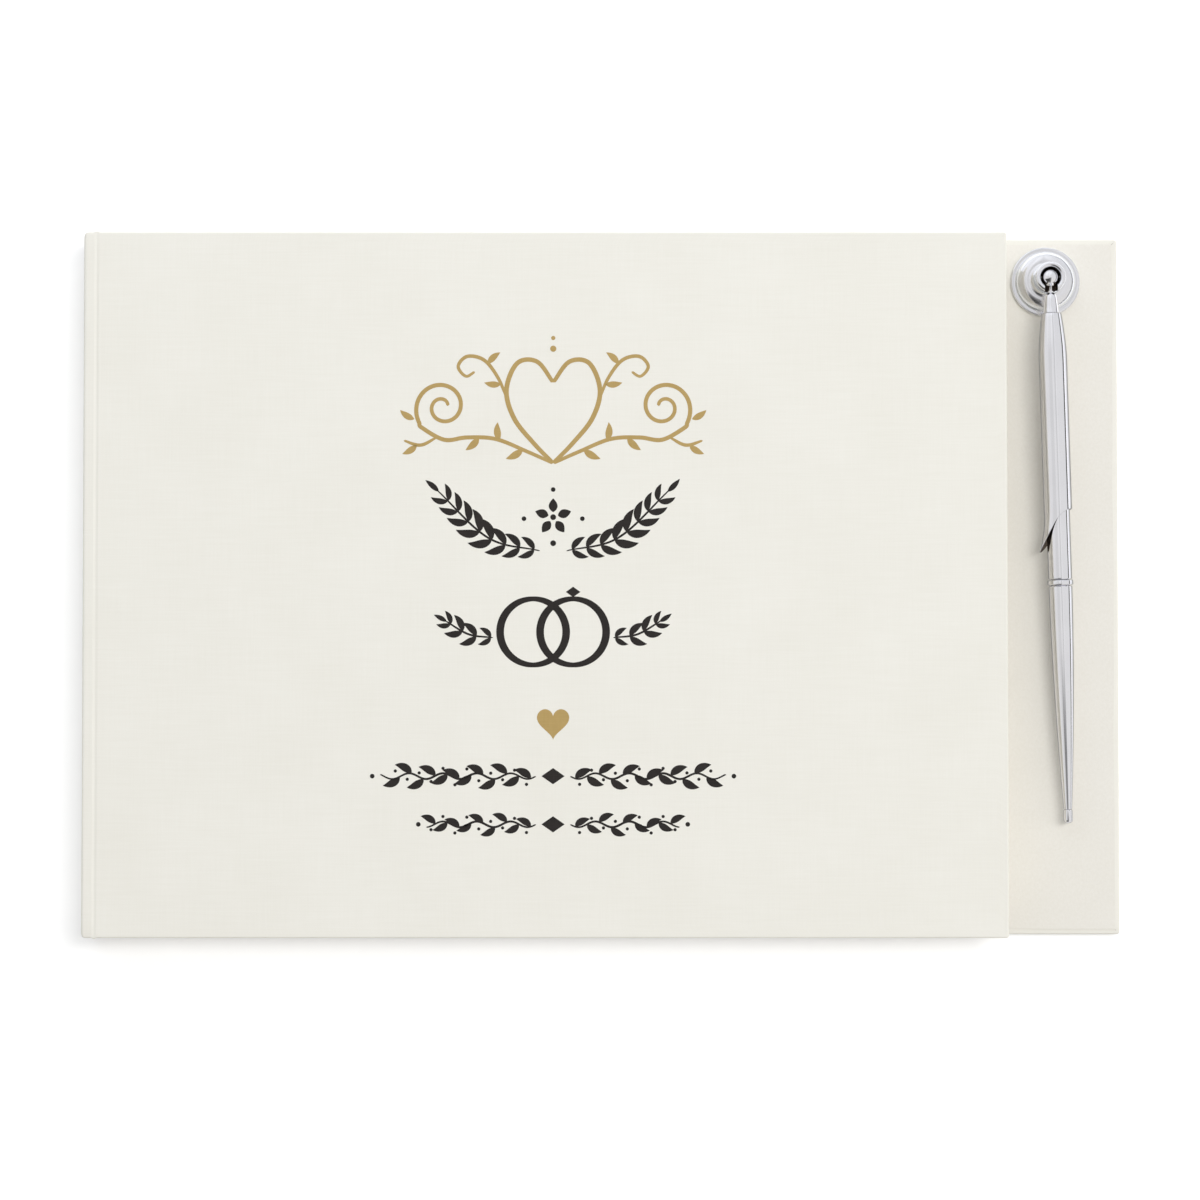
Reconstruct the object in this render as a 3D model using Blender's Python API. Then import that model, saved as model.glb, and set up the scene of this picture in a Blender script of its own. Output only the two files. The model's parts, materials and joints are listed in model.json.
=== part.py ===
"""Wedding guest book: a casebound landscape book in ivory cloth. Its back board runs past the front
cover at the fore edge, and the bare strip carries a swivelling desk-pen holder with its pen.

Frame: metres, +Z up. The origin is the centre of the underside. +X points from the spine to the fore
edge, +Y to the head of the book. The book lies closed on its back cover.
"""

import math

import bmesh
import bpy
from mathutils import Matrix, Vector

MM = 0.001

# Driving sizes of the book
BOOK_HEIGHT = 184 * MM  # head to tail
BACK_WIDTH = 272 * MM  # spine face to the back board's fore edge
PEN_STRIP = 31 * MM  # how far the back cover runs past the front one
BOOK_THICKNESS = 17.5 * MM
CLOTH = 0.35 * MM
BOARD = 2.2 * MM
PAPER = 0.2 * MM
GLUE_GAP = 0.05 * MM  # between layers that touch
TURN_IN = 15 * MM  # cloth folded over onto a board's inside face
PASTEDOWN_MARGIN = 1.3 * MM  # cloth left showing round a pastedown
SQUARE = 3.5 * MM  # how far the cover stands past the leaves
SPINE_STRIP = 4.1 * MM  # spine face to the edge of each cover board
JOINT_DIP = 0.45 * MM  # depth of the groove in the cloth along each joint
CORNER_RADIUS = 1.0 * MM
EDGE_RADIUS = 0.45 * MM
SPINE_RADIUS = 0.7 * MM
MULL = 0.3 * MM
BAND_RADIUS = 0.65 * MM
SECTION_COUNT = 6
TURNING_SECTIONS = 3  # those that turn with the front cover

# Driving sizes of the pen holder, whose heights are above the back pastedown
HOLDER_INSET = Vector((19.1 * MM, 11.4 * MM))  # from the back cover's fore and head edges
FLANGE_RADIUS = 9.15 * MM
BELL_HEIGHT = 5.9 * MM
RIVET_RADIUS = 0.95 * MM
BALL_HEIGHT = 10.05 * MM
BALL_RADIUS = 2.2 * MM
BALL_BORE = 0.62 * MM  # radius of the hole for the cross pin
TILT_PIN_RADIUS = 0.5 * MM
CUP_RADIUS = 4.0 * MM
CUP_BORE = 2.7 * MM
SLOT_WIDTH = 3.4 * MM
PEN_YAW = math.radians(2.0)  # the stored pen leans from -Y towards +X
PEN_PITCH = math.radians(2.3)  # and slopes down to its tail, which clears the cover as it slides out
RUNNING_GAP = 0.1 * MM

# Driving sizes of the funnel and the pen, measured along the pen from the ball's centre
FUNNEL_START = 9.45 * MM
FUNNEL_END = 64.1 * MM  # at the middle of its slanted mouth
FUNNEL_SWELL = 12.5 * MM  # how far it takes to reach its full radius
FUNNEL_NECK_RADIUS = 2.6 * MM
FUNNEL_RADIUS = 3.7 * MM
FUNNEL_WALL = 0.35 * MM
MOUTH_SLANT = 5.65 * MM
MOUTH_CURVE = 2.35 * MM
LIP_FLARE = 1.5 * MM
LIP_LENGTH = 9 * MM
BUSH_START = 22.5 * MM
BUSH_END = 28.5 * MM
PEN_RADIUS = 3.1 * MM
TIP_RADIUS = 1.15 * MM
TAIL_TAPER = 2.0 * MM  # how much thinner the tail gets
NIB_START = 13.2 * MM
NOSE_START = 16.0 * MM
BARREL_START = 36.2 * MM
RING_START = 79.4 * MM
RING_END = 80.8 * MM
TAIL_END = 139.8 * MM
PEN_END = 143.4 * MM

SIDES = 24  # sides of a small turned piece
BASE_SIDES = 36

# Places that follow
SPINE_X = -BACK_WIDTH / 2
FORE_X = BACK_WIDTH / 2
FRONT_X = FORE_X - PEN_STRIP
HEAD_Y = BOOK_HEIGHT / 2
BOARD_X = SPINE_X + SPINE_STRIP
LEAF_X = BOARD_X - 1.0 * MM
LEAF_END_X = FRONT_X - SQUARE
LEAF_Y = HEAD_Y - SQUARE
SKIN = CLOTH + GLUE_GAP  # from a cover's outside to its board
SPINE_INNER_X = SPINE_X + SKIN + BOARD
TURN_IN_Z = SKIN + BOARD + GLUE_GAP
PASTEDOWN_Z = TURN_IN_Z + CLOTH + GLUE_GAP
COVER_THICKNESS = PASTEDOWN_Z + PAPER
HINGE = Vector((LEAF_X, 0, BOOK_THICKNESS + 0.1 * MM))
HOLDER = Vector((FORE_X - HOLDER_INSET.x, HEAD_Y - HOLDER_INSET.y, COVER_THICKNESS))

# Colours as (red, green, blue), roughness, metallic
FINISHES = {
    "ivory_cloth": ((0.85, 0.83, 0.77), 0.85, 0),
    "greyboard": ((0.42, 0.39, 0.34), 0.95, 0),
    "endpaper": ((0.82, 0.80, 0.74), 0.9, 0),
    "leaf_paper": ((0.86, 0.84, 0.79), 0.9, 0),
    "gauze": ((0.78, 0.76, 0.7), 0.95, 0),
    "band_silk": ((0.85, 0.8, 0.66), 0.7, 0),
    "foam_tape": ((0.8, 0.8, 0.78), 0.95, 0),
    "satin_chrome": ((0.75, 0.75, 0.77), 0.22, 1),
    "steel": ((0.6, 0.6, 0.62), 0.3, 1),
    "brass": ((0.72, 0.55, 0.3), 0.3, 1),
    "plastic": ((0.12, 0.12, 0.13), 0.5, 0),
}


def clear_scene():
    for obj in list(bpy.data.objects):
        bpy.data.objects.remove(obj)


def finish(name):
    """The named material, made on its first use."""
    if name in bpy.data.materials:
        return bpy.data.materials[name]
    colour, roughness, metallic = FINISHES[name]
    made = bpy.data.materials.new(name)
    made.use_nodes = True
    shader = made.node_tree.nodes["Principled BSDF"]
    shader.inputs["Base Color"].default_value = (*colour, 1)
    shader.inputs["Roughness"].default_value = roughness
    shader.inputs["Metallic"].default_value = metallic
    return made


def place(name, bm, material, parent=None):
    """A new object from a bmesh, with every face turned outwards."""
    bmesh.ops.recalc_face_normals(bm, faces=bm.faces)
    mesh = bpy.data.meshes.new(name)
    bm.to_mesh(mesh)
    bm.free()
    obj = bpy.data.objects.new(name, mesh)
    bpy.context.scene.collection.objects.link(obj)
    if material:
        mesh.materials.append(finish(material))
    obj.parent = parent
    return obj


def smooth(obj, angle=35):
    obj.data.shade_smooth()
    obj.data.set_sharp_from_angle(angle=math.radians(angle))
    return obj


def pivot(name, location, rotation=None, parent=None):
    """An empty on a joint's axis."""
    empty = bpy.data.objects.new(name, None)
    empty.empty_display_size = 0.01
    bpy.context.scene.collection.objects.link(empty)
    empty.parent = parent
    turn = rotation.to_4x4() if rotation else Matrix.Identity(4)
    empty.matrix_basis = Matrix.Translation(location) @ turn
    return empty


def at_rest(parent, low):
    """The place of a corner in its parent's frame, for a parent that is only shifted."""
    return low - parent.location if parent else low


def box(low, high, parent=None):
    """A bmesh box between two world corners, in the frame of a parent that is only shifted."""
    low, high = at_rest(parent, Vector(low)), at_rest(parent, Vector(high))
    bm = bmesh.new()
    bmesh.ops.create_cube(bm, size=1)
    bmesh.ops.scale(bm, vec=high - low, verts=bm.verts)
    bmesh.ops.translate(bm, vec=(low + high) / 2, verts=bm.verts)
    return bm


def slab(name, low, high, material, parent=None):
    return place(name, box(low, high, parent), material, parent)


def round_edges(bm, chosen, radius, segments):
    edges = [edge for edge in bm.edges if chosen(*(v.co for v in edge.verts))]
    bmesh.ops.bevel(
        bm,
        geom=edges,
        offset=radius,
        segments=segments,
        profile=0.5,
        affect="EDGES",
        clamp_overlap=True,
    )


def same(a, b):
    return abs(a - b) < 1e-6


def combine(obj, operation, bm):
    """Cuts a helper shape from an object, or joins it on."""
    helper = place(f"{obj.name}_{operation.lower()}_{len(obj.modifiers)}", bm, None, obj.parent)
    helper.hide_render = True
    helper.display_type = "WIRE"
    modifier = obj.modifiers.new(helper.name, "BOOLEAN")
    modifier.operation = operation
    modifier.object = helper
    return obj


def turned(outline, sides=SIDES):
    """A bmesh turned about Z from a closed outline of (radius, height) points."""
    bm = bmesh.new()
    rings = []
    for radius, height in outline:
        if radius == 0:
            rings.append([bm.verts.new((0, 0, height))] * sides)
            continue
        angles = [2 * math.pi * i / sides for i in range(sides)]
        points = [(radius * math.cos(a), radius * math.sin(a), height) for a in angles]
        rings.append([bm.verts.new(point) for point in points])
    for ring, following in zip(rings, rings[1:] + rings[:1]):
        for i in range(sides):
            j = (i + 1) % sides
            corners = [ring[i], ring[j], following[j], following[i]]
            corners = list(dict.fromkeys(corners))
            if len(corners) > 2:
                bm.faces.new(corners)
    return bm


def turned_part(name, outline, material, parent, sides=SIDES):
    return smooth(place(name, turned(outline, sides), material, parent))


def arc(centre, radius, start, stop, steps):
    """Points of an arc in the outline's plane, from one angle in degrees to another."""
    angles = [math.radians(start + (stop - start) * i / steps) for i in range(steps + 1)]
    return [
        (centre[0] + radius * math.cos(a), centre[1] + radius * math.sin(a))
        for a in angles
    ]


def extruded(outline, low_y, high_y):
    """A bmesh of a closed outline of (x, z) points, drawn out along Y."""
    bm = bmesh.new()
    face = bm.faces.new([bm.verts.new((x, low_y, z)) for x, z in outline])
    grown = bmesh.ops.extrude_face_region(bm, geom=[face])["geom"]
    moved = [item for item in grown if isinstance(item, bmesh.types.BMVert)]
    bmesh.ops.translate(bm, vec=(0, high_y - low_y, 0), verts=moved)
    return bm


def cover_skin(name, end_x, outside_z, inward, parent=None):
    """Cloth round a cover board: the outside, three edges, and three turn-ins on the inside face.
    inward is 1 where the inside face is above the outside, and -1 where it is below."""

    def z(depth):
        return outside_z + inward * depth

    def between(low, high, depth_low, depth_high):
        depths = sorted((z(depth_low), z(depth_high)))
        return (*low, depths[0]), (*high, depths[1])

    inside = TURN_IN_Z + CLOTH
    low, high = between((BOARD_X, -HEAD_Y), (end_x, HEAD_Y), 0, inside)
    shift = parent.location if parent else Vector()
    bm = box(low, high, parent)
    end, joint = end_x - shift.x, BOARD_X - shift.x
    round_edges(
        bm, lambda a, b: same(a.x, end) and same(a.x, b.x) and same(a.y, b.y), CORNER_RADIUS, 4
    )
    round_edges(
        bm,
        lambda a, b: same(a.z, b.z) and not (same(a.x, joint) and same(b.x, joint)),
        EDGE_RADIUS,
        3,
    )
    skin = smooth(place(name, bm, "ivory_cloth", parent))
    open_x = BOARD_X - 1 * MM
    pocket = between(
        (open_x, -HEAD_Y + CLOTH), (end_x - CLOTH, HEAD_Y - CLOTH), CLOTH, TURN_IN_Z
    )
    combine(skin, "DIFFERENCE", box(*pocket, parent))
    window = between(
        (open_x, -HEAD_Y + TURN_IN),
        (end_x - TURN_IN, HEAD_Y - TURN_IN),
        TURN_IN_Z - 0.1 * MM,
        inside + 1 * MM,
    )
    return combine(skin, "DIFFERENCE", box(*window, parent))


def cover_board(name, end_x, outside_z, inward, parent=None):
    depths = sorted((outside_z + inward * SKIN, outside_z + inward * (SKIN + BOARD)))
    low = (BOARD_X + GLUE_GAP, -HEAD_Y + SKIN, depths[0])
    high = (end_x - SKIN, HEAD_Y - SKIN, depths[1])
    return slab(name, low, high, "greyboard", parent)


def pastedown(name, end_x, outside_z, inward, parent=None):
    """Endpaper glued down inside a cover. Its back fills the shallow well between the turn-ins."""
    start_x = BOARD_X + GLUE_GAP
    face = sorted((outside_z + inward * PASTEDOWN_Z, outside_z + inward * COVER_THICKNESS))
    well_top = COVER_THICKNESS - PAPER / 2
    well = sorted((outside_z + inward * TURN_IN_Z, outside_z + inward * well_top))
    margin_y = HEAD_Y - PASTEDOWN_MARGIN
    sheet = slab(
        name,
        (start_x, -margin_y, face[0]),
        (end_x - PASTEDOWN_MARGIN, margin_y, face[1]),
        "endpaper",
        parent,
    )
    well_y = HEAD_Y - TURN_IN - GLUE_GAP
    filling = box(
        (start_x + PAPER, -well_y, well[0]),
        (end_x - TURN_IN - GLUE_GAP, well_y, well[1]),
        parent,
    )
    return combine(sheet, "UNION", filling)


def joint_cloth(name, outside_z, inward):
    """The strip of cloth between the spine and a cover board, which dips into a groove."""
    steps = 8
    start, end = SPINE_INNER_X + 2 * GLUE_GAP, BOARD_X - GLUE_GAP
    outer = []
    for i in range(steps + 1):
        part = i / steps
        dip = JOINT_DIP * (1 - math.cos(2 * math.pi * part)) / 2
        outer.append((start + (end - start) * part, outside_z + inward * dip))
    inner = [(x, z + inward * CLOTH) for x, z in reversed(outer)]
    bm = extruded(outer + inner, -HEAD_Y, HEAD_Y)
    return smooth(place(name, bm, "ivory_cloth"))


def spine():
    """The stiff spine strip in its cloth, which wraps its long edges and its two ends."""
    cloth_end = SPINE_INNER_X + GLUE_GAP
    bm = box((SPINE_X, -HEAD_Y, 0), (cloth_end, HEAD_Y, BOOK_THICKNESS))
    round_edges(
        bm, lambda a, b: same(a.x, SPINE_X) and same(b.x, SPINE_X), SPINE_RADIUS, 4
    )
    cloth = smooth(place("spine_cloth", bm, "ivory_cloth"))
    pocket = box(
        (SPINE_X + CLOTH, -HEAD_Y + CLOTH, CLOTH),
        (cloth_end + 1 * MM, HEAD_Y - CLOTH, BOOK_THICKNESS - CLOTH),
    )
    combine(cloth, "DIFFERENCE", pocket)
    board = box(
        (SPINE_X + SKIN, -HEAD_Y + SKIN, SKIN),
        (SPINE_INNER_X, HEAD_Y - SKIN, BOOK_THICKNESS - SKIN),
    )
    round_edges(
        board,
        lambda a, b: same(a.x, SPINE_X + SKIN) and same(b.x, a.x) and same(a.z, b.z),
        SPINE_RADIUS / 2,
        2,
    )
    place("spine_board", board, "greyboard")


def case():
    """The two covers, the spine and the joints between them."""
    cover_board("back_board", FORE_X, 0, 1)
    cover_skin("back_cover_cloth", FORE_X, 0, 1)
    pastedown("back_pastedown", FORE_X, 0, 1)
    joint_cloth("back_joint_cloth", 0, 1)
    spine()
    joint_cloth("front_joint_cloth", BOOK_THICKNESS, -1)
    hinge = pivot("front_cover_pivot", HINGE)
    cover_board("front_board", FRONT_X, BOOK_THICKNESS, -1, hinge)
    cover_skin("front_cover_cloth", FRONT_X, BOOK_THICKNESS, -1, hinge)
    pastedown("front_pastedown", FRONT_X, BOOK_THICKNESS, -1, hinge)


def leaf(name, low_z, high_z, parent=None):
    low = (LEAF_X, -LEAF_Y, low_z)
    return slab(name, low, (LEAF_END_X, LEAF_Y, high_z), "leaf_paper", parent)


def section(name, low_z, high_z, parent=None):
    """A sewn section of folded leaves, with a rounded fold at the spine."""
    shift = parent.location if parent else Vector()
    radius = (high_z - low_z) / 2
    fold = arc((LEAF_X + radius, (low_z + high_z) / 2), radius, 90, 270, 8)
    outline = fold + [(LEAF_END_X, low_z), (LEAF_END_X, high_z)]
    bm = extruded([(x - shift.x, z - shift.z) for x, z in outline], -LEAF_Y, LEAF_Y)
    return place(name, bm, "leaf_paper", parent)


def text_block():
    """Two flyleaves with the sewn sections between them, numbered from the front cover down."""
    bottom = COVER_THICKNESS + GLUE_GAP
    top = BOOK_THICKNESS - COVER_THICKNESS - GLUE_GAP
    leaf("back_flyleaf", bottom, bottom + PAPER)
    turning = pivot("leaf_pivot", HINGE)
    leaf("front_flyleaf", top - PAPER, top, turning)
    low = bottom + PAPER + GLUE_GAP
    high = top - PAPER
    pitch = (high - low) / SECTION_COUNT
    for number in range(1, SECTION_COUNT + 1):
        upper = high - GLUE_GAP - (number - 1) * pitch
        parent = turning if number <= TURNING_SECTIONS else None
        section(f"section_{number}", upper - pitch + GLUE_GAP, upper, parent)
    return low, high - GLUE_GAP


def spine_lining(low_z, high_z):
    """Gauze glued down the back of the sections, and a sewn band at each end of them."""
    mull_x = LEAF_X - 2 * GLUE_GAP - MULL
    reach = LEAF_Y - 4 * MM
    slab("spine_mull", (mull_x, -reach, low_z), (mull_x + MULL, reach, high_z), "gauze")
    offset = LEAF_Y + GLUE_GAP + BAND_RADIUS
    for name, y in (("headband", offset), ("tailband", -offset)):
        cap = 0.3 * MM
        outline = [
            (0, low_z),
            (BAND_RADIUS - cap, low_z),
            (BAND_RADIUS, low_z + cap),
            (BAND_RADIUS, high_z - cap),
            (BAND_RADIUS - cap, high_z),
            (0, high_z),
        ]
        bm = turned(outline, 12)
        bmesh.ops.translate(bm, vec=(LEAF_X + BAND_RADIUS, y, 0), verts=bm.verts)
        smooth(place(name, bm, "band_silk"))


def millimetres(points):
    return [(radius * MM, height * MM) for radius, height in points]


def holder_base(parent):
    """A bell on a flange, bored for the swivel rivet, with a recess below for the foam pad."""
    under = GLUE_GAP / MM
    flange, flange_top, rim = FLANGE_RADIUS / MM, 1.1, 0.35
    bell, bell_foot, bell_arc = 7.9, 1.5, 2.9
    neck_top, neck_arc, neck_lean = BELL_HEIGHT / MM, 1.5, 18
    bore = (RIVET_RADIUS + RUNNING_GAP) / MM
    well, well_roof = 7.35, 0.8
    hollow, hollow_roof = 2.5, 2.1
    crown_centre = bell - bell_arc
    outline = millimetres(
        [(well, under), (flange, under), (flange, flange_top - 0.4)]
        + arc((flange - rim, flange_top - 0.4), rim, 20, 90, 3)
        + [(bell + 0.1, flange_top)]
        + arc((crown_centre, bell_foot), bell_arc, 0, 90, 8)
        + arc((crown_centre, neck_top), neck_arc, 270 - neck_lean, 180, 5)
        + [(bore, neck_top), (bore, hollow_roof), (hollow, hollow_roof)]
        + [(hollow, well_roof), (well, well_roof)]
    )
    turned_part("holder_base", outline, "satin_chrome", parent, BASE_SIDES)
    pad_radius, pad_top = well - 0.15, well_roof - 0.1
    pad = [(0, under), (pad_radius, under), (pad_radius, pad_top), (0, pad_top)]
    turned_part("holder_foam_pad", millimetres(pad), "foam_tape", parent)
    washer_low, washer_high, washer_radius = 1.65, 2.0, 2.3
    washer = [
        (bore, washer_low),
        (washer_radius, washer_low),
        (washer_radius, washer_high),
        (bore, washer_high),
    ]
    turned_part("swivel_washer", millimetres(washer), "steel", parent)


def socket(parent):
    """The slotted cup that turns on the base, its rivet, and the cross pin that the ball tilts on."""
    shaft, shaft_bore = RIVET_RADIUS / MM, (RIVET_RADIUS + RUNNING_GAP) / MM
    head, head_low, head_high = 2.0, 1.0, 1.55
    seat, tip = 6.8, 7.25
    rivet = [(0, head_low), (head, head_low), (head, head_high), (shaft, head_high + 0.05)]
    rivet += [(shaft, seat), (shaft + 0.35, seat + 0.05), (shaft + 0.25, tip - 0.05), (0, tip)]
    turned_part("swivel_rivet", millimetres(rivet), "steel", parent)
    foot, foot_radius = (BELL_HEIGHT + RUNNING_GAP) / MM, 3.45
    waist, waist_height = 3.75, 8.2
    rim_low, rim_centre, rim_arc = 9.4, 11.25, 0.65
    cup, bore = CUP_RADIUS / MM, CUP_BORE / MM
    recess, recess_floor = 1.45, seat - RUNNING_GAP / MM
    recess_angle = -math.degrees(math.acos(recess / bore))
    outline = millimetres(
        [(shaft_bore, foot), (foot_radius, foot), (foot_radius + 0.05, foot + 1)]
        + [(waist, waist_height), (cup, rim_low), (cup, rim_centre - 0.25)]
        + arc((cup - rim_arc, rim_centre), rim_arc, 0, 180, 6)
        + arc((0, BALL_HEIGHT / MM), bore, 0, recess_angle, 6)
        + [(recess, recess_floor), (shaft_bore, recess_floor)]
    )
    cup_body = turned_part("socket_cup", outline, "satin_chrome", parent, BASE_SIDES)
    slot_floor, above = 8.3 * MM, 13 * MM
    slot = box((-SLOT_WIDTH / 2, -CUP_RADIUS - 1 * MM, slot_floor), (SLOT_WIDTH / 2, 0, above))
    combine(cup_body, "DIFFERENCE", slot)
    hole_radius, reach = TILT_PIN_RADIUS + RUNNING_GAP, CUP_RADIUS + 1 * MM
    hole = turned([(0, -reach), (hole_radius, -reach), (hole_radius, reach), (0, reach)], 12)
    lay_across(hole, BALL_HEIGHT)
    combine(cup_body, "DIFFERENCE", hole)
    end = CUP_RADIUS - 0.2 * MM
    radius = TILT_PIN_RADIUS
    pin = turned([(0, -end), (radius, -end), (radius, end), (0, end)], 12)
    lay_across(pin, BALL_HEIGHT)
    smooth(place("tilt_pin", pin, "steel", parent))


def lay_across(bm, height):
    """Lays a turned shape along X, at a height."""
    turn = Matrix.Rotation(math.pi / 2, 4, "Y")
    bmesh.ops.transform(bm, matrix=Matrix.Translation((0, 0, height)) @ turn, verts=bm.verts)


def ball_stud(parent):
    """A cross-bored ball on a thin neck, which flares to a shoulder and ends in a spigot."""
    ball, neck, neck_end = BALL_RADIUS / MM, 0.68, 4.15
    shoulder, shoulder_end = 2.1, FUNNEL_START / MM - 0.15
    spigot, spigot_end = 1.3, FUNNEL_START / MM + 3.25
    meets = math.degrees(math.asin(neck / ball))
    outline = millimetres(
        [(0, -ball)]
        + arc((0, 0), ball, -75, 90 - meets, 10)
        + [(neck, neck_end), (1.05, neck_end + 0.15), (1.55, neck_end + 0.55)]
        + [(shoulder, shoulder_end), (spigot, shoulder_end), (spigot, spigot_end), (0, spigot_end)]
    )
    stud = turned_part("ball_stud", outline, "satin_chrome", parent)
    reach = BALL_RADIUS + 1 * MM
    bore = turned([(0, -reach), (BALL_BORE, -reach), (BALL_BORE, reach), (0, reach)], 12)
    lay_across(bore, 0)
    combine(stud, "DIFFERENCE", bore)


def funnel_radius(along):
    """Outer radius of the funnel: a shoulder that swells into a straight tube."""
    swell = min(1, (along - FUNNEL_START) / FUNNEL_SWELL)
    rise = FUNNEL_RADIUS - FUNNEL_NECK_RADIUS
    return FUNNEL_NECK_RADIUS + rise * math.sin(math.pi / 2 * swell)


def mouth(angle):
    """How far along the slanted mouth lies. It reaches furthest on the side towards the book."""
    side = math.cos(angle)
    return FUNNEL_END - MOUTH_SLANT * side + MOUTH_CURVE * side * side


def funnel_ring(bm, share, inset):
    """One ring of the funnel's wall, a share of the way from its shoulder to its mouth."""
    ring = []
    for i in range(SIDES):
        angle = 2 * math.pi * i / SIDES
        end = mouth(angle)
        along = FUNNEL_START + (end - FUNNEL_START) * share
        radius = funnel_radius(along) - inset
        lip = max(0, 1 - (end - along) / LIP_LENGTH)
        radius += LIP_FLARE * max(0, -math.cos(angle)) ** 3 * lip * lip
        ring.append(bm.verts.new((radius * math.cos(angle), radius * math.sin(angle), along)))
    return ring


def flat_ring(bm, radius, along):
    angles = [2 * math.pi * i / SIDES for i in range(SIDES)]
    return [bm.verts.new((radius * math.cos(a), radius * math.sin(a), along)) for a in angles]


def funnel(parent):
    """The long cap that the pen slides into, with a slanted mouth and a flared lip."""
    wall_end = FUNNEL_START + 1.5 * MM
    bore = 1.4 * MM
    outer_shares = (0, 0.04, 0.08, 0.13, 0.18, 0.24, 0.5, 0.8, 0.86, 0.91, 0.96, 1)
    inner_shares = (1, 0.96, 0.91, 0.86, 0.8, 0.5, 0.24, 0.18, 0.13, 0.08)
    bm = bmesh.new()
    rings = [flat_ring(bm, bore, wall_end), flat_ring(bm, bore, FUNNEL_START)]
    rings += [funnel_ring(bm, share, 0) for share in outer_shares]
    rings += [funnel_ring(bm, share, FUNNEL_WALL) for share in inner_shares]
    rings.append(flat_ring(bm, funnel_radius(wall_end) - FUNNEL_WALL, wall_end))
    for ring, following in zip(rings, rings[1:] + rings[:1]):
        for i in range(SIDES):
            j = (i + 1) % SIDES
            bm.faces.new([ring[i], ring[j], following[j], following[i]])
    smooth(place("pen_funnel", bm, "satin_chrome", parent))
    nut_start, nut_end, nut_radius = wall_end + 0.1 * MM, wall_end + 1.35 * MM, 2.15 * MM
    nut = [(bore, nut_start), (nut_radius, nut_start), (nut_radius, nut_end), (bore, nut_end)]
    turned_part("funnel_nut", nut, "steel", parent, 12)
    start, end = BUSH_START, BUSH_END
    clearance = 0.12 * MM
    outside = FUNNEL_RADIUS - FUNNEL_WALL - GLUE_GAP
    bush = [
        (nose_radius(start) + clearance, start),
        (outside, start),
        (outside, end),
        (nose_radius(end) + clearance, end),
    ]
    turned_part("funnel_bush", bush, "plastic", parent)


def nose_radius(along):
    share = (along - NOSE_START) / (BARREL_START - NOSE_START)
    return TIP_RADIUS + (PEN_RADIUS - TIP_RADIUS) * math.sin(math.pi / 2 * share)


def tail_radius(along):
    """Outer radius of the pen's long tail, which thins slowly at first."""
    share = (along - RING_END) / (TAIL_END - RING_END)
    return PEN_RADIUS - TAIL_TAPER * share**1.8


def stations(start, end, steps):
    return [start + (end - start) * i / steps for i in range(steps + 1)]


def pen(parent):
    """The ballpoint pen: nose, barrel, centre ring, tail and end cap, round a refill and its nib."""
    refill, bore, thread = 1.1 * MM, 1.25 * MM, 2.4 * MM
    barrel_bore = thread + RUNNING_GAP
    nib_end = NOSE_START + 1.6 * MM
    nib = [
        (0, NIB_START),
        (0.35 * MM, NIB_START + 0.1 * MM),
        (0.8 * MM, NOSE_START - 0.3 * MM),
        (0.8 * MM, nib_end),
        (0, nib_end),
    ]
    turned_part("pen_nib", nib, "brass", parent, 16)
    refill_start, refill_end = nib_end + RUNNING_GAP, 116 * MM
    tube = [(0, refill_start), (refill, refill_start), (refill, refill_end), (0, refill_end)]
    turned_part("pen_refill", tube, "plastic", parent, 16)
    nose_end = BARREL_START - GLUE_GAP
    thread_end = BARREL_START + 6 * MM
    nib_bore = 0.9 * MM
    outside = [(nose_radius(s), s) for s in stations(NOSE_START, nose_end, 6)]
    nose = [(bore, thread_end), (bore, nib_end), (nib_bore, nib_end), (nib_bore, NOSE_START)]
    nose += outside + [(thread, nose_end), (thread, thread_end)]
    turned_part("pen_nose", nose, "satin_chrome", parent)
    barrel_end = RING_START - GLUE_GAP
    barrel = [
        (barrel_bore, BARREL_START),
        (PEN_RADIUS, BARREL_START),
        (PEN_RADIUS, barrel_end),
        (barrel_bore, barrel_end),
    ]
    turned_part("pen_barrel", barrel, "satin_chrome", parent)
    proud = PEN_RADIUS + 0.28 * MM
    soften = 0.2 * MM
    ring = [
        (barrel_bore, RING_START),
        (proud - soften, RING_START),
        (proud, RING_START + soften),
        (proud, RING_END - soften - GLUE_GAP),
        (proud - soften, RING_END - GLUE_GAP),
        (barrel_bore, RING_END - GLUE_GAP),
    ]
    turned_part("pen_ring", ring, "satin_chrome", parent)
    outside = [(tail_radius(s), s) for s in stations(RING_END, TAIL_END, 10)]
    spigot_start = RING_START - 6 * MM
    bore_end = refill_end + 1 * MM
    cap_bore = 0.75 * MM
    tail = [(bore, spigot_start), (thread, spigot_start), (thread, RING_END)]
    tail += outside + [(cap_bore, TAIL_END), (cap_bore, bore_end), (bore, bore_end)]
    turned_part("pen_tail", tail, "satin_chrome", parent)
    plug = cap_bore - RUNNING_GAP
    plug_start, cap_start = TAIL_END - 4 * MM, TAIL_END + GLUE_GAP
    cap_radius = 1.2 * MM
    dome_start = PEN_END - 0.8 * MM
    cap = [
        (0, plug_start),
        (plug, plug_start),
        (plug, cap_start),
        (cap_radius - 0.15 * MM, cap_start),
        (cap_radius, cap_start + 0.15 * MM),
        (cap_radius - 0.1 * MM, dome_start),
        (cap_radius * 0.75, PEN_END - 0.25 * MM),
        (0, PEN_END),
    ]
    turned_part("pen_end_cap", cap, "satin_chrome", parent, 16)


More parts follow.
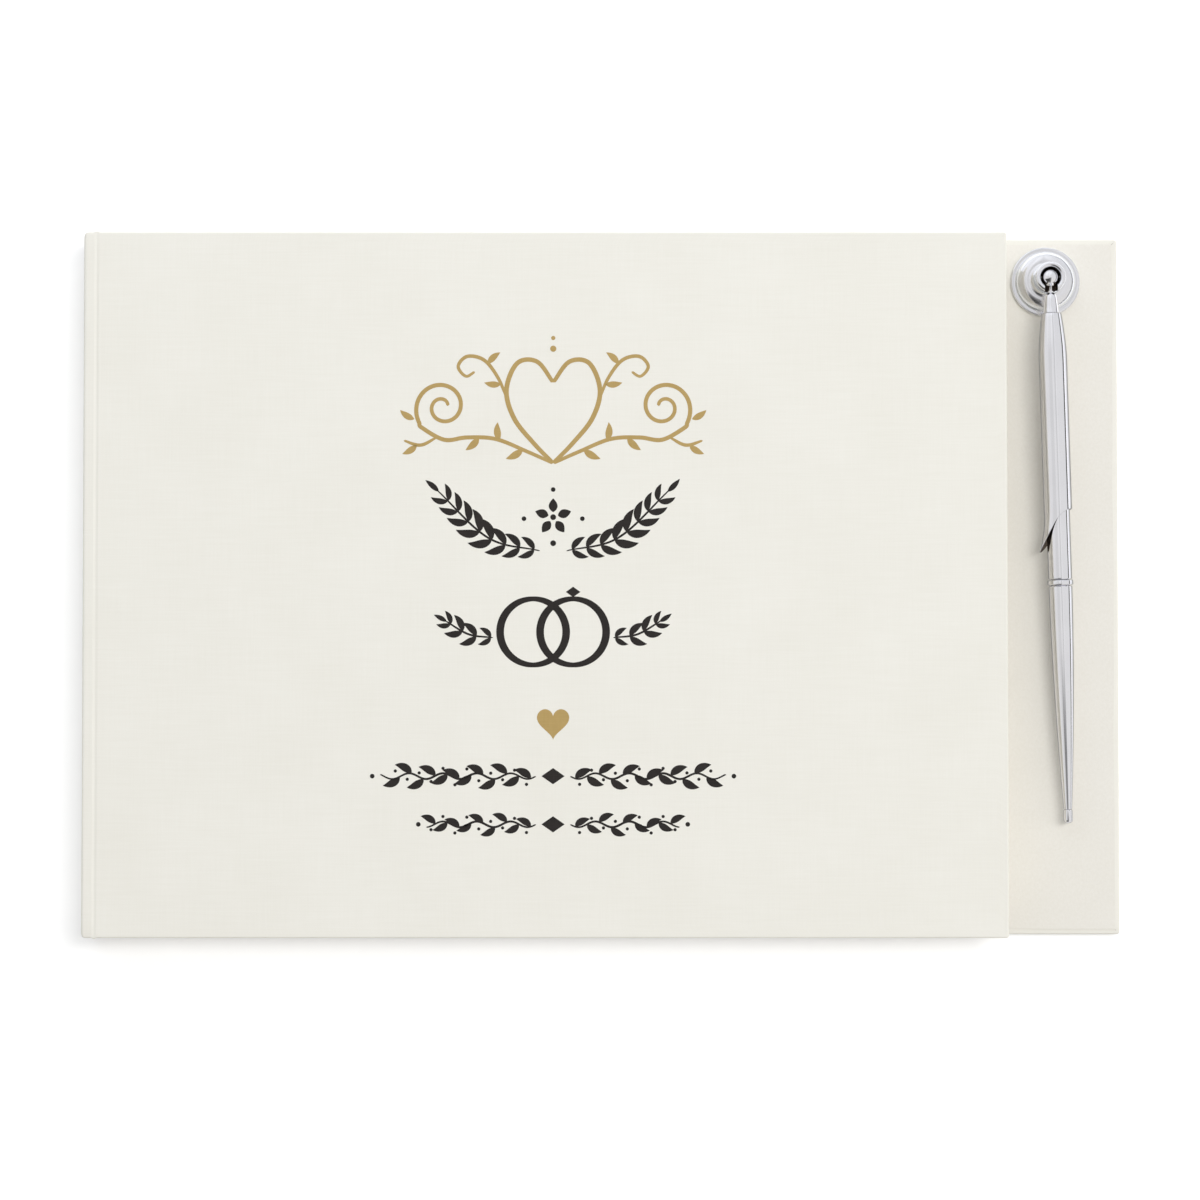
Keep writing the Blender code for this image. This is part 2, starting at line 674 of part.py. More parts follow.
def pen_holder():
    """The holder on its base, then the pieces that swivel, those that tilt, and the pen that slides."""
    holder_base(pivot("holder_centre", HOLDER))
    swivel = pivot("holder_swivel", HOLDER, Matrix.Rotation(PEN_YAW, 3, "Z"))
    socket(swivel)
    # the pen's own frame has +Z along the pen, away from the ball, and +Y up
    turn = Matrix.Rotation(math.pi / 2 + PEN_PITCH, 3, "X")
    tilt = pivot("holder_tilt", Vector((0, 0, BALL_HEIGHT)), turn, swivel)
    ball_stud(tilt)
    funnel(tilt)
    pen(pivot("pen_slide", Vector(), None, tilt))


def main():
    clear_scene()
    case()
    spine_lining(*text_block())
    pen_holder()


main()
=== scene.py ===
"""The looks of the wedding guest book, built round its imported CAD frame.

Cloth, paper, print and metal are finer pieces that stand where the CAD nodes do. The frame is the CAD's:
the origin is the centre of the underside, +X points from the spine to the fore edge, +Y to the head of the
book and +Z up. Sizes are in metres, except those of the print, the holder and the pen, in millimetres.
"""

import json
import math

import bmesh
import bpy
from mathutils import Matrix, Vector


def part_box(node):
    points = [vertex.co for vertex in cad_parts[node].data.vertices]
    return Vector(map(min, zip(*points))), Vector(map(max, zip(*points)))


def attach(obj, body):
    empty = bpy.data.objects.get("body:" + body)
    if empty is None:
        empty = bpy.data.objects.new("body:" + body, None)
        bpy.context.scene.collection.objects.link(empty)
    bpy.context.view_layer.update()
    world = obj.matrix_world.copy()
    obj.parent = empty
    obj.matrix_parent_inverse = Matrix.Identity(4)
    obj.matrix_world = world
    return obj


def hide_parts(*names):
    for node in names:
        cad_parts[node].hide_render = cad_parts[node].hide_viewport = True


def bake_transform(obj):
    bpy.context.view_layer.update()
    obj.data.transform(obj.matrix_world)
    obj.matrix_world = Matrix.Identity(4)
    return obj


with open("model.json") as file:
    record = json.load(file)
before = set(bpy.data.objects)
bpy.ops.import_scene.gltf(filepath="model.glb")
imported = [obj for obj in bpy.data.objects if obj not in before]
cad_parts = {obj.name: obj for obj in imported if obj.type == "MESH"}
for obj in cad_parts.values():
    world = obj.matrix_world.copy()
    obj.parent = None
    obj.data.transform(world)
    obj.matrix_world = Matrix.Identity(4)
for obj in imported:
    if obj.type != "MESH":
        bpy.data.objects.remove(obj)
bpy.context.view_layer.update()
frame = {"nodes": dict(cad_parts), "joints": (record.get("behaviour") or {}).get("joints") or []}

MM = 0.001

# Sizes of the case
CLOTH = 0.33 * MM
THREAD = 0.42 * MM  # from one thread of the weave to the next
EDGE_RADIUS = 0.45 * MM
PLAN_RADIUS = 0.7 * MM  # fore corners of a cover, seen from above
CORNER_ANGLES = (72, 54, 36, 18)
CORNER_STEPS = len(CORNER_ANGLES) + 1
COVER_COLUMNS, COVER_ROWS = 56, 42
COVER_BORDER = 3 * MM  # between the grid of a cover's flat and its edges
TURN_IN = 15 * MM
MITRE_GAP = 0.09 * MM  # half of the seam where two turn-ins meet
RIPPLE = 0.012 * MM
PAPER = 0.2 * MM
HINGE_PAPER = 0.07 * MM
HINGE_FOLD = 0.15 * MM
PASTEDOWN_MARGIN = 1.3 * MM
PASTEDOWN_WANDER = 0.16 * MM
WELL_DEPTH = 0.012 * MM  # how far a pastedown sinks inside the turn-ins
WELL_SLOPE = 0.8 * MM
JOINT_DIP = 0.14 * MM
JOINT_BULGE = 0.22 * MM
JOINT_END = 2 * MM  # how far from head and tail the groove starts to close
JOINT_FOLD = 0.36 * MM
JOINT_TURN_IN = 12 * MM
SPINE_LONG_RADIUS = 0.75 * MM
SPINE_END_RADIUS = 1.1 * MM
SPINE_CORNER = 0.55 * MM
SPINE_TURN_IN = 7 * MM
SPINE_FOLD = 0.3 * MM
PRESSED_CLOTH = 0.28 * MM  # the thickness of the spine's turn-ins

# Sizes of the text block
SECTIONS = 6
TURNING_SECTIONS = 3
LEAVES_IN_SECTION = 6
LEAF_GAP = 0.014 * MM
BEND = 12 * MM  # how far from its fold a leaf bends as it turns
BAND_WRAPS = 27
BAND_THREAD = 0.1 * MM

# Sizes of the holder and the pen, in millimetres, and along the pen from the ball's centre. They are the
# CAD's, but for a ball and a cup that leave less of a gap and a mouth that is turned round the pen.
BALL_RADIUS = 2.32
BALL_HEIGHT = 10.05
CUP_BORE = 2.62
SLOT_LOW, SLOT_HIGH = (-1.7, -6, 8.3), (1.7, 0, 14)
FUNNEL_START = 9.45
FUNNEL_END = 64.1
FUNNEL_FLOOR = 1.5
FUNNEL_SWELL = 12.5
FUNNEL_NECK_RADIUS = 2.6
FUNNEL_RADIUS = 3.7
FUNNEL_WALL = 0.35
MOUTH_SLANT = 5.65
MOUTH_CURVE = 2.35
MOUTH_TURN = math.radians(20)  # the longest side of the mouth lies this far below the pen's left side
LIP_FLARE = 1.5
LIP_LENGTH = 9
PEN_RADIUS = 3.1
PEN_BORE = 2.5
PLUG_RADIUS = 2.4  # the necks that plug one part of the pen into the next
REFILL_BORE = 1.25
TIP_RADIUS = 1.15
TAIL_TAPER = 2.0
CAP_RADIUS = 1.2
NIB_START = 13.2
NOSE_START = 16.0
BARREL_START = 36.2
RING_START = 79.4
RING_END = 80.8
TAIL_END = 139.8
PEN_END = 143.4
EASE = 0.12  # how much a turned corner is broken
GROOVE = 0.2
SEAM = 0.05
TURNED_SIDES = 96
TURNED_ANGLES = [2 * math.pi * i / TURNED_SIDES for i in range(TURNED_SIDES)]

# Places that the frame gives. The holder's and the pen's frames also turn millimetres into metres.
FRONT_LOW, FRONT_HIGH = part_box("front_cover_cloth")
BACK_LOW, BACK_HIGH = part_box("back_cover_cloth")
SPINE_LOW, SPINE_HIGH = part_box("spine_cloth")
HEAD_Y = FRONT_HIGH.y
TOP_Z = FRONT_HIGH.z
BOARD_X = FRONT_LOW.x
LEAF_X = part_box("section_4")[0].x
JOINTS = {joint["name"]: joint for joint in frame["joints"]}
BALL = Vector(JOINTS["holder_swivel"]["pos_m"])
ALONG_PEN = Vector(JOINTS["pen_slide"]["axis"]).normalized()
ACROSS_PEN = -Vector(JOINTS["holder_tilt"]["axis"]).normalized()
OVER_PEN = ALONG_PEN.cross(ACROSS_PEN)
PEN_TURN = Matrix((ACROSS_PEN, OVER_PEN, ALONG_PEN)).transposed().to_4x4()
PEN_YAW = math.atan2(ACROSS_PEN.y, ACROSS_PEN.x)
PEN_FRAME = Matrix.Translation(BALL) @ PEN_TURN @ Matrix.Scale(MM, 4)
HOLDER_FRAME = Matrix.Translation(BALL - Vector((0, 0, BALL_HEIGHT * MM))) @ Matrix.Scale(MM, 4)
SOCKET_FRAME = HOLDER_FRAME @ Matrix.Rotation(PEN_YAW, 4, "Z")


# --- Materials ---


def linear(red, green, blue):
    """A colour given as it shows on screen, from 0 to 255, as scene-linear RGBA."""

    def channel(value):
        value /= 255
        return value / 12.92 if value <= 0.04045 else ((value + 0.055) / 1.055) ** 2.4

    return channel(red), channel(green), channel(blue), 1


class Look:
    """A material or a world as it is made, with short ways to add its nodes."""

    def __init__(self, owner):
        owner.use_nodes = True
        self.owner = owner
        self.tree = owner.node_tree

    def feed(self, node, inputs):
        """Sets a node's inputs to values, or links them to sockets."""
        for key, value in inputs.items():
            if isinstance(value, bpy.types.NodeSocket):
                self.tree.links.new(value, node.inputs[key])
            else:
                node.inputs[key].default_value = value

    def add(self, kind, inputs=None, **settings):
        made = self.tree.nodes.new(kind)
        for name, value in settings.items():
            setattr(made, name, value)
        self.feed(made, inputs or {})
        return made

    def calc(self, operation, *values):
        return self.add("ShaderNodeMath", dict(enumerate(values)), operation=operation).outputs[0]

    def weighed(self, first, second, share):
        """Two values added up, with this share of the second."""
        first = self.calc("MULTIPLY", first, 1 - share)
        return self.calc("ADD", first, self.calc("MULTIPLY", second, share))

    def noise(self, place, scale, detail=2.0, roughness=0.5):
        """Noise from 0 to 1, with so many features to the metre along each axis."""
        scaled = self.add("ShaderNodeVectorMath", {0: place, 1: scale}, operation="MULTIPLY").outputs[0]
        values = {"Vector": scaled, "Scale": 1, "Detail": detail, "Roughness": roughness}
        return self.add("ShaderNodeTexNoise", values).outputs[0]

    def mixed(self, factor, first, second):
        made = self.add("ShaderNodeMix", {0: factor, 6: first, 7: second}, data_type="RGBA")
        return made.outputs[2]

    def shade(self, tone, reach, dark, light):
        """From a dark to a light colour, over tones this far each way from the middle."""
        return self.mixed(self.spread(tone, 0.5 - reach, 0.5 + reach), dark, light)

    def spread(self, value, low, high, to_low=0.0, to_high=1.0):
        """A value stretched from one range to another, and held inside it."""
        values = {0: value, 1: low, 2: high, 3: to_low, 4: to_high}
        return self.add("ShaderNodeMapRange", values).outputs[0]

    def bump(self, height, distance, strength):
        values = {"Height": height, "Distance": distance, "Strength": strength}
        return self.add("ShaderNodeBump", values).outputs[0]

    def object_place(self):
        return self.add("ShaderNodeTexCoord").outputs["Object"]

    def kept(self, name, output):
        """A value that each piece kept on its points when it was made."""
        return self.add("ShaderNodeAttribute", attribute_name=name).outputs[output]

    def surface(self, **inputs):
        """The material, with its shader's inputs by their names, written with _ for a space."""
        shader = self.tree.nodes["Principled BSDF"]
        self.feed(shader, {key.replace("_", " "): value for key, value in inputs.items()})
        return self.owner


def new_look(name):
    return Look(bpy.data.materials.new(name))


def woven(name, light, dark, patches, slub_share, relief, **finish):
    """Linen-look cloth, bare or inked: uneven threads both ways, a few thicker slubs and a faint mottle."""
    look = new_look(name)
    place = look.kept("weave", "Vector")
    across, along = 1 / THREAD, 75
    weft = look.noise(place, (along, across, 1), 1.5)
    warp = look.noise(place, (across, along, 1), 1.5)
    slubs = look.noise(place, (90, 900, 1), 1)
    mottle = look.noise(place, (patches, patches, 1), 3)
    threads = look.weighed(weft, warp, 0.45)
    tone = look.weighed(look.weighed(threads, slubs, slub_share), mottle, 0.4)
    height = look.calc("ADD", threads, look.calc("MULTIPLY", slubs, 0.25))
    return look.surface(
        Base_Color=look.shade(tone, 0.2, dark, light),
        Normal=look.bump(height, 0.04 * MM, relief),
        **finish,
    )


def book_cloth():
    light, dark = linear(241, 239, 231), linear(235, 232.5, 223)
    finish = {"Roughness": 0.82, "Specular_IOR_Level": 0.3, "Sheen_Weight": 0.12, "Sheen_Roughness": 0.5}
    return woven("ivory_book_cloth", light, dark, 38, 0.2, 0.45, **finish)


def printed(name, light, dark, roughness):
    """Ink on the cloth: the weave still shows through it."""
    return woven(name, light, dark, 260, 0, 0.4, Roughness=roughness, Specular_IOR_Level=0.25)


def paper(name, light, dark, relief):
    """Uncoated paper: cloudy, with short fibres in every direction."""
    look = new_look(name)
    place = look.object_place()
    cloud = look.noise(place, (55, 55, 55), 4)
    fibres = look.noise(place, (1500, 1100, 1500), 3, 0.7)
    tone = look.weighed(cloud, fibres, 0.75)
    return look.surface(
        Base_Color=look.shade(tone, 0.2, dark, light),
        Roughness=0.88,
        Specular_IOR_Level=0.3,
        Normal=look.bump(fibres, 0.03 * MM, relief),
    )


def metal(name, light, dark, roughness, wear=0.05, grain=(900, 900, 60), painted_rim_highlight=0.0, edge=0.0):
    """Turned metal: fine lines from the lathe and a slightly uneven polish. Where it turns away from view
    it can take a painted highlight, a pale bluish white mixed into its colour in place of a reflection, or
    a painted dark rim, shade and dark reflections painted into its colour. Its colours are given as
    scene-linear RGB."""
    look = new_look(name)
    place = look.object_place()
    lines = look.noise(place, grain, 3)
    smears = look.noise(place, (210, 120, 210), 3)
    colour = look.shade(smears, 0.15, (*dark, 1), (*light, 1))
    finish = {"Metallic": 1}
    facing = look.add("ShaderNodeLayerWeight", {"Blend": 0.5}).outputs["Facing"]
    # painted highlight: towards the rims a pale bluish white replaces part of the metal, in place of a
    # reflection
    if painted_rim_highlight:
        rim = look.spread(facing, 0.14, 0.5, 0, painted_rim_highlight)
        colour = look.mixed(rim, colour, (0.8, 0.93, 1.0, 1))
        finish["Metallic"] = look.calc("SUBTRACT", 1, rim)
    # painted shade: towards the rims the colour darkens to near black, with a greyer edge tint, for the
    # dark reflection of the shaded panel and the contact shadow beside the pen
    if edge:
        colour = look.mixed(look.spread(facing, 0.38, 0.72, 0, edge), colour, (0.12, 0.12, 0.13, 1))
        finish["Specular_Tint"] = (0.62, 0.62, 0.64, 1)
    polish = look.weighed(lines, smears, 0.5)
    return look.surface(
        Base_Color=colour,
        Roughness=look.spread(polish, 0.3, 0.7, roughness - wear, roughness + wear),
        Normal=look.bump(lines, 0.002 * MM, 0.3),
        **finish,
    )


def speckled(name, light, dark, scale, roughness, relief, strength=0.6):
    """Board, foam and plastic: one grain at one scale."""
    look = new_look(name)
    grain = look.noise(look.object_place(), (scale, scale, scale), 4, 0.65)
    return look.surface(
        Base_Color=look.shade(grain, 0.15, dark, light),
        Roughness=roughness,
        Normal=look.bump(grain, relief, strength),
    )


def gauze():
    """Open-weave gauze, stiff with glue: a square grid of threads over darker gaps."""
    look = new_look("glued_gauze")
    axes = look.add("ShaderNodeSeparateXYZ", {0: look.object_place()}).outputs
    frequency = 2 * math.pi / (0.9 * MM)
    waves = [look.calc("SINE", look.calc("MULTIPLY", axes[i], frequency)) for i in (1, 2)]
    threads = look.spread(look.calc("MAXIMUM", *waves), -0.2, 0.9)
    return look.surface(
        Base_Color=look.mixed(threads, linear(196, 188, 168), linear(232, 228, 214)),
        Roughness=0.95,
        Normal=look.bump(threads, 0.12 * MM, 0.8),
    )


def band_silk():
    """Silk thread round the head and tail bands, cream and pale gold wrap by wrap."""
    look = new_look("band_silk_thread")
    sheen = look.noise(look.object_place(), (2600, 2600, 900))
    gold = look.mixed(sheen, linear(190, 158, 98), linear(214, 186, 128))
    cream = look.mixed(sheen, linear(230, 224, 204), linear(244, 240, 226))
    return look.surface(
        Base_Color=look.mixed(look.kept("wrap", "Fac"), cream, gold),
        Roughness=0.45,
        Sheen_Weight=0.4,
        Normal=look.bump(sheen, 0.03 * MM, 0.7),
    )


CLOTH_LOOK = book_cloth()
ENDPAPER_LOOK = paper("ivory_endpaper", linear(237.5, 234.5, 227), linear(231.5, 228, 219), 0.5)
LEAF_LOOK = paper("ivory_leaf_paper", linear(243, 241, 233), linear(235, 232, 222), 0.4)
GOLD_INK = printed("gold_ink", linear(188, 161, 106), linear(176, 149, 93), 0.6)
BLACK_INK = printed("black_ink", linear(50, 46, 44), linear(34, 31, 30), 0.62)
# painted highlight: the chrome takes a pale bluish white on its rims, standing for a reflection
CHROME = metal("satin_chrome_plate", (0.93, 0.93, 0.97), (0.89, 0.89, 0.93), 0.18, 0.04, painted_rim_highlight=0.2)
BRIGHT, DULL = (0.94, 0.94, 0.98), (0.91, 0.91, 0.95)
# painted shade: the pen's chrome darkens to a dark rim, for the shade and dark reflections beside it
PEN_CHROME = metal("pen_chrome_plate", BRIGHT, DULL, 0.08, 0.02, (500, 30, 500), edge=0.66)
STUD_CHROME = metal("stud_chrome_plate", BRIGHT, DULL, 0.1, 0.02)
# painted shade: a dark colour for the cup's well, the slot's walls and the funnel's inside, where there is
# only shade
PAINTED_SHADE_BORE = metal("painted_shade_bore", (0.13, 0.1, 0.08), (0.06, 0.045, 0.036), 0.5, 0.08)
STEEL = metal("turned_steel", (0.62, 0.62, 0.64), (0.5, 0.5, 0.52), 0.3, 0.08)
# painted shade: the tilt pin is made dark so that the gap round the ball looks shaded
PAINTED_SHADE_STEEL = metal("painted_shade_steel", (0.2, 0.2, 0.2), (0.12, 0.12, 0.12), 0.4, 0.08)
BRASS = metal("turned_brass", (0.8, 0.6, 0.32), (0.66, 0.48, 0.24), 0.25, 0.06)
BOARD_LOOK = speckled("grey_board", linear(172, 166, 152), linear(140, 133, 118), 1400, 0.95, 0.08 * MM)
FOAM_LOOK = speckled("foam_pad", linear(232, 232, 228), linear(205, 205, 200), 2600, 0.95, 0.15 * MM)
PLASTIC = speckled("black_plastic", linear(52, 52, 55), linear(40, 40, 42), 900, 0.45, 0.01 * MM, 0.3)
GAUZE = gauze()
BAND_SILK = band_silk()

# Kinds of sheet: slot, material and thickness
LINEN = ("ivory_cloth", CLOTH_LOOK, CLOTH)
ENDPAPER = ("endpaper", ENDPAPER_LOOK, PAPER)


# --- Making pieces ---


def new_object(name, bm, *materials):
    mesh = bpy.data.meshes.new(name)
    bm.to_mesh(mesh)
    bm.free()
    for material in materials:
        mesh.materials.append(material)
    obj = bpy.data.objects.new(name, mesh)
    bpy.context.scene.collection.objects.link(obj)
    return obj


def piece(name, bm, slot, *materials, stands_for=(), body=None, smooth=35):
    """A finished mesh as a piece that stands for CAD nodes. Without a body it is left to be blended."""
    obj = new_object(name, bm, *materials)
    obj.data.shade_smooth()
    obj.data.set_sharp_from_angle(angle=math.radians(smooth))
    if body:
        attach(obj, body)
    if stands_for:
        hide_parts(*stands_for)
    return obj


def apply_modifiers(obj, smooth=35):
    """Keeps the evaluated mesh as the object's own, with its corners crisp again."""
    graph = bpy.context.evaluated_depsgraph_get()
    mesh = bpy.data.meshes.new_from_object(obj.evaluated_get(graph), depsgraph=graph)
    obj.modifiers.clear()
    obj.data = mesh
    mesh.set_sharp_from_angle(angle=math.radians(smooth))


def thicken(obj, thickness):
    """Gives a sheet its thickness, away from its outer side."""
    solid = obj.modifiers.new("thickness", "SOLIDIFY")
    solid.thickness = thickness
    solid.offset = -1
    solid.use_even_offset = True
    apply_modifiers(obj)
    return obj


def sheet(name, bm, face, outwards, kind, stands_for=(), body=None):
    """A piece of one kind of sheet, made from its outer side, where one face looks outwards."""
    slot, material, thickness = kind
    bmesh.ops.recalc_face_normals(bm, faces=bm.faces)
    if face.normal.dot(Vector(outwards)) < 0:
        bmesh.ops.reverse_faces(bm, faces=bm.faces)
    return thicken(piece(name, bm, slot, material, stands_for=stands_for, body=body), thickness)


class Cloth:
    """A mesh whose points keep where they lay in the flat cloth, in metres."""

    def __init__(self):
        self.bm = bmesh.new()
        self.weave = self.bm.verts.layers.float_vector.new("weave")

    def point(self, place, flat):
        made = self.bm.verts.new(place)
        made[self.weave] = (*flat, 0)
        return made


def add_face(bm, corners):
    """A face from corners that may repeat or be missing."""
    if None in corners:
        return None
    corners = list(dict.fromkeys(corners))
    return bm.faces.new(corners) if len(corners) > 2 else None


def skin(bm, grid):
    """Faces over a grid of points, row by row."""
    return [
        [add_face(bm, [a[j], b[j], b[j + 1], a[j + 1]]) for j in range(len(a) - 1)]
        for a, b in zip(grid, grid[1:])
    ]


def wrap(bm, rings, dark=()):
    """Faces from each ring of points to the next, in the second material, painted shade, after a ring that
    is in dark.
    """
    for k, (ring, following) in enumerate(zip(rings, rings[1:])):
        for i in range(len(ring)):
            made = add_face(bm, [ring[i - 1], ring[i], following[i], following[i - 1]])
            if made and k in dark:
                made.material_index = 1


def steps(start, end, count):
    return [start + (end - start) * i / count for i in range(count + 1)]


def arc(centre, radius, start, stop, count):
    """Points of an arc, from one angle in degrees to another."""
    angles = [math.radians(angle) for angle in steps(start, stop, count)]
    return [(centre[0] + radius * math.cos(a), centre[1] + radius * math.sin(a)) for a in angles]


def ripple(x, y):
    """How far the glued cloth lies above or below the true plane."""
    waves = (
        math.sin(61 * x + 37 * y + 0.4)
        + math.sin(-83 * x + 54 * y + 1.9)
        + 0.7 * math.sin(148 * x + 21 * y + 2.6)
        + 0.7 * math.sin(33 * x - 161 * y + 4.1)
    )
    return RIPPLE * waves / 3.4


# --- The case ---


def edge_inset(depth, radius):
    """How far a rounded edge lies inside the outline, at a depth below the face."""
    if depth >= radius:
        return 0.0
    return radius - math.sqrt(radius**2 - (radius - depth) ** 2)


def edge_depths(radius, count=5):
    """Depths down a rounded edge, spaced evenly round its arc."""
    return [radius * (1 - math.cos(angle)) for angle in steps(0, math.pi / 2, count)]


def plan_outline(start, end, half, inset):
    """Points and outward directions round three sides of a cover, from joint to joint."""
    radius = max(PLAN_RADIUS - inset, 0)
    centre_x, centre_y = end - max(PLAN_RADIUS, inset), half - max(PLAN_RADIUS, inset)

    def corner(angles):
        made = []
        for angle in map(math.radians, angles):
            out = math.cos(angle), math.sin(angle)
            y = math.copysign(centre_y, out[1]) + radius * out[1]
            made.append(((centre_x + radius * out[0], y), out))
        return made

    points = [((x, half - inset), (0, 1)) for x in steps(start, centre_x, COVER_COLUMNS)]
    points += corner(CORNER_ANGLES)
    points += [((end - inset, y), (1, 0)) for y in steps(centre_y, -centre_y, COVER_ROWS)]
    points += corner([-angle for angle in reversed(CORNER_ANGLES)])
    return points + [((x, inset - half), (0, -1)) for x in steps(centre_x, start, COVER_COLUMNS)]


def cover_cloth(name, low, high, outside_z, inward, node, body):
    """Cloth over the outside of a cover board, round its three edges and folded in at mitred corners."""
    start, end, half = low.x, high.x, high.y
    depth = high.z - low.z
    cloth = Cloth()

    def point(place, below, flat):
        lift = ripple(*place) if below < 0.01 * MM else 0
        return cloth.point((*place, outside_z + inward * (below - lift)), flat)

    columns = steps(start, end - COVER_BORDER, COVER_COLUMNS)
    rows = steps(half - COVER_BORDER, COVER_BORDER - half, COVER_ROWS)
    grid = [[point((x, y), 0, (x, y)) for y in rows] for x in columns]
    faces = skin(cloth.bm, grid)
    ring = [column[0] for column in grid]
    ring += [grid[-1][0]] * (CORNER_STEPS - 1) + grid[-1] + [grid[-1][-1]] * (CORNER_STEPS - 1)
    ring += [column[-1] for column in reversed(grid)]

    # Each ring further out, as an inset from the cover's outline and a depth below its face
    rounded = [(edge_inset(depth_at, EDGE_RADIUS), depth_at) for depth_at in edge_depths(EDGE_RADIUS)]
    rings = [(COVER_BORDER / 2, 0), (PLAN_RADIUS, 0), *rounded, (0, depth / 2)]
    rings += [(inset, depth - depth_at) for inset, depth_at in reversed(rounded)]
    rings += [(inset, depth) for inset in (PLAN_RADIUS, PASTEDOWN_MARGIN, 4 * MM, 9 * MM, TURN_IN)]

    # The turn-ins are cut away at the corners, and drawn back from the mitre on each side of it
    first, second = COVER_COLUMNS, COVER_COLUMNS + CORNER_STEPS + COVER_ROWS
    cut_away = {corner + i for corner in (first, second) for i in range(CORNER_STEPS + 1)}
    drawn_back = {
        first: (-MITRE_GAP, 0),
        first + CORNER_STEPS: (0, -MITRE_GAP),
        second: (0, MITRE_GAP),
        second + CORNER_STEPS: (-MITRE_GAP, 0),
    }
    origin = plan_outline(start, end, half, COVER_BORDER)
    travelled, before = 0.0, (COVER_BORDER, 0)
    for inset, below in rings:
        travelled += math.dist(before, (inset, below))
        before = inset, below
        folded_in = below == depth and inset > PLAN_RADIUS
        following, last_place = [], None
        outline = plan_outline(start, end, half, inset)
        for index, ((place, _), (root, out)) in enumerate(zip(outline, origin)):
            flat = [root[k] + out[k] * travelled for k in (0, 1)]
            if folded_in and index in cut_away:
                shift = drawn_back.get(index)
                corner = shift and point((place[0] + shift[0], place[1] + shift[1]), below, flat)
                following.append(corner)
                last_place = None
            elif last_place and math.dist(last_place, place) < 1e-8:
                following.append(following[-1])
            else:
                following.append(point(place, below, flat))
                last_place = place
        skin(cloth.bm, [ring, following])
        ring = following
    sheet(name, cloth.bm, faces[0][0], (0, 0, -inward), LINEN, [node], body)


def joint_cloth(name, outside_z, inward, node, body=None):
    """The cloth between the spine and a cover: a groove, doubled at head and tail by its turn-ins."""
    fold_y = HEAD_Y - JOINT_FOLD
    turned_in = []
    for angle in steps(0, math.pi, 8)[1:]:
        y, below = fold_y + JOINT_FOLD * math.sin(angle), JOINT_FOLD * (1 - math.cos(angle))
        turned_in.append((y, below, fold_y + JOINT_FOLD * angle))
    for run in steps(0, JOINT_TURN_IN, 4)[1:]:
        turned_in.append((fold_y - run, 2 * JOINT_FOLD, fold_y + JOINT_FOLD * math.pi + run))
    rows = [(-y, below, -flat) for y, below, flat in reversed(turned_in)]
    rows += [(y, 0.0, y) for y in steps(-fold_y, fold_y, 40)] + turned_in
    cloth = Cloth()
    grid = []
    for part in steps(0, 1, 14):
        x = SPINE_HIGH.x + (BOARD_X - SPINE_HIGH.x) * part
        bulge = JOINT_BULGE * math.sin(math.pi * part)
        dip = JOINT_DIP * (1 - math.cos(2 * math.pi * part)) / 2
        column = []
        for y, below, flat in rows:
            near_end = max(0, 1 - (HEAD_Y - abs(y)) / JOINT_END)
            z = outside_z + inward * (dip * (1 - 0.5 * near_end) + below)
            column.append(cloth.point((x, y + math.copysign(bulge * near_end, y), z), (x, flat)))
        grid.append(column)
    faces = skin(cloth.bm, grid)
    return sheet(name, cloth.bm, faces[0][len(rows) // 2], (0, 0, -inward), LINEN, [node], body)


def spine_cloth():
    """Cloth round the spine strip: over its long edges to the joints, and folded in at head and tail."""
    rows, columns = 44, 8
    depth = SPINE_HIGH.x - SPINE_LOW.x
    half_z = TOP_Z / 2
    cloth = Cloth()

    def ring_at(below):
        """Points round the four sides at a depth behind the spine's face."""
        y_end = HEAD_Y - edge_inset(below, SPINE_END_RADIUS) - SPINE_CORNER
        z_end = half_z - edge_inset(below, SPINE_LONG_RADIUS) - SPINE_CORNER
        centres = [Vector((y * y_end, z * z_end)) for y, z in ((1, 1), (-1, 1), (-1, -1), (1, -1))]
        places = []
        for quarter, centre in enumerate(centres):
            places += [Vector(p) for p in arc(centre, SPINE_CORNER, 90 * quarter, 90 * quarter + 90, 4)]
            edge = centres[(quarter + 1) % 4] - centre
            count = columns if quarter % 2 else rows
            places += [places[-1] + edge * i / count for i in range(1, count)]
        x = SPINE_LOW.x
        return [cloth.point((x + below, y, half_z + z), (x - z - below, y)) for y, z in places]

    rings = [ring_at(below) for below in edge_depths(SPINE_END_RADIUS, 7) + [depth]]
    wrap(cloth.bm, rings)
    face = cloth.bm.faces.new(rings[0])
    sheet("spine_linen", cloth.bm, face, (-1, 0, 0), LINEN, ["spine_cloth"], "back_case")


def spine_turn_ins():
    """The cloth folded over each end of the spine strip onto its inside."""
    back, front = SPINE_HIGH.x, SPINE_HIGH.x + SPINE_FOLD
    path = [(back - 0.02 * MM, HEAD_Y)] + arc((back, HEAD_Y - SPINE_FOLD), SPINE_FOLD, 90, 0, 5)
    path += [(front, HEAD_Y - SPINE_TURN_IN * part) for part in (0.3, 0.65, 1)]
    cloth = Cloth()
    for sign in (1, -1):
        grid = [
            [cloth.point((x, sign * y, z), (z, sign * (2 * HEAD_Y - y + x - back))) for x, y in path]
            for z in steps(0.6 * MM, TOP_Z - 0.6 * MM, 8)
        ]
        faces = skin(cloth.bm, grid[::sign])
    cloth.bm.normal_update()
    if faces[0][-1].normal.x < 0:
        bmesh.ops.reverse_faces(cloth.bm, faces=cloth.bm.faces)
    obj = piece("spine_turn_ins", cloth.bm, "ivory_cloth", CLOTH_LOOK, body="back_case")
    thicken(obj, PRESSED_CLOTH)


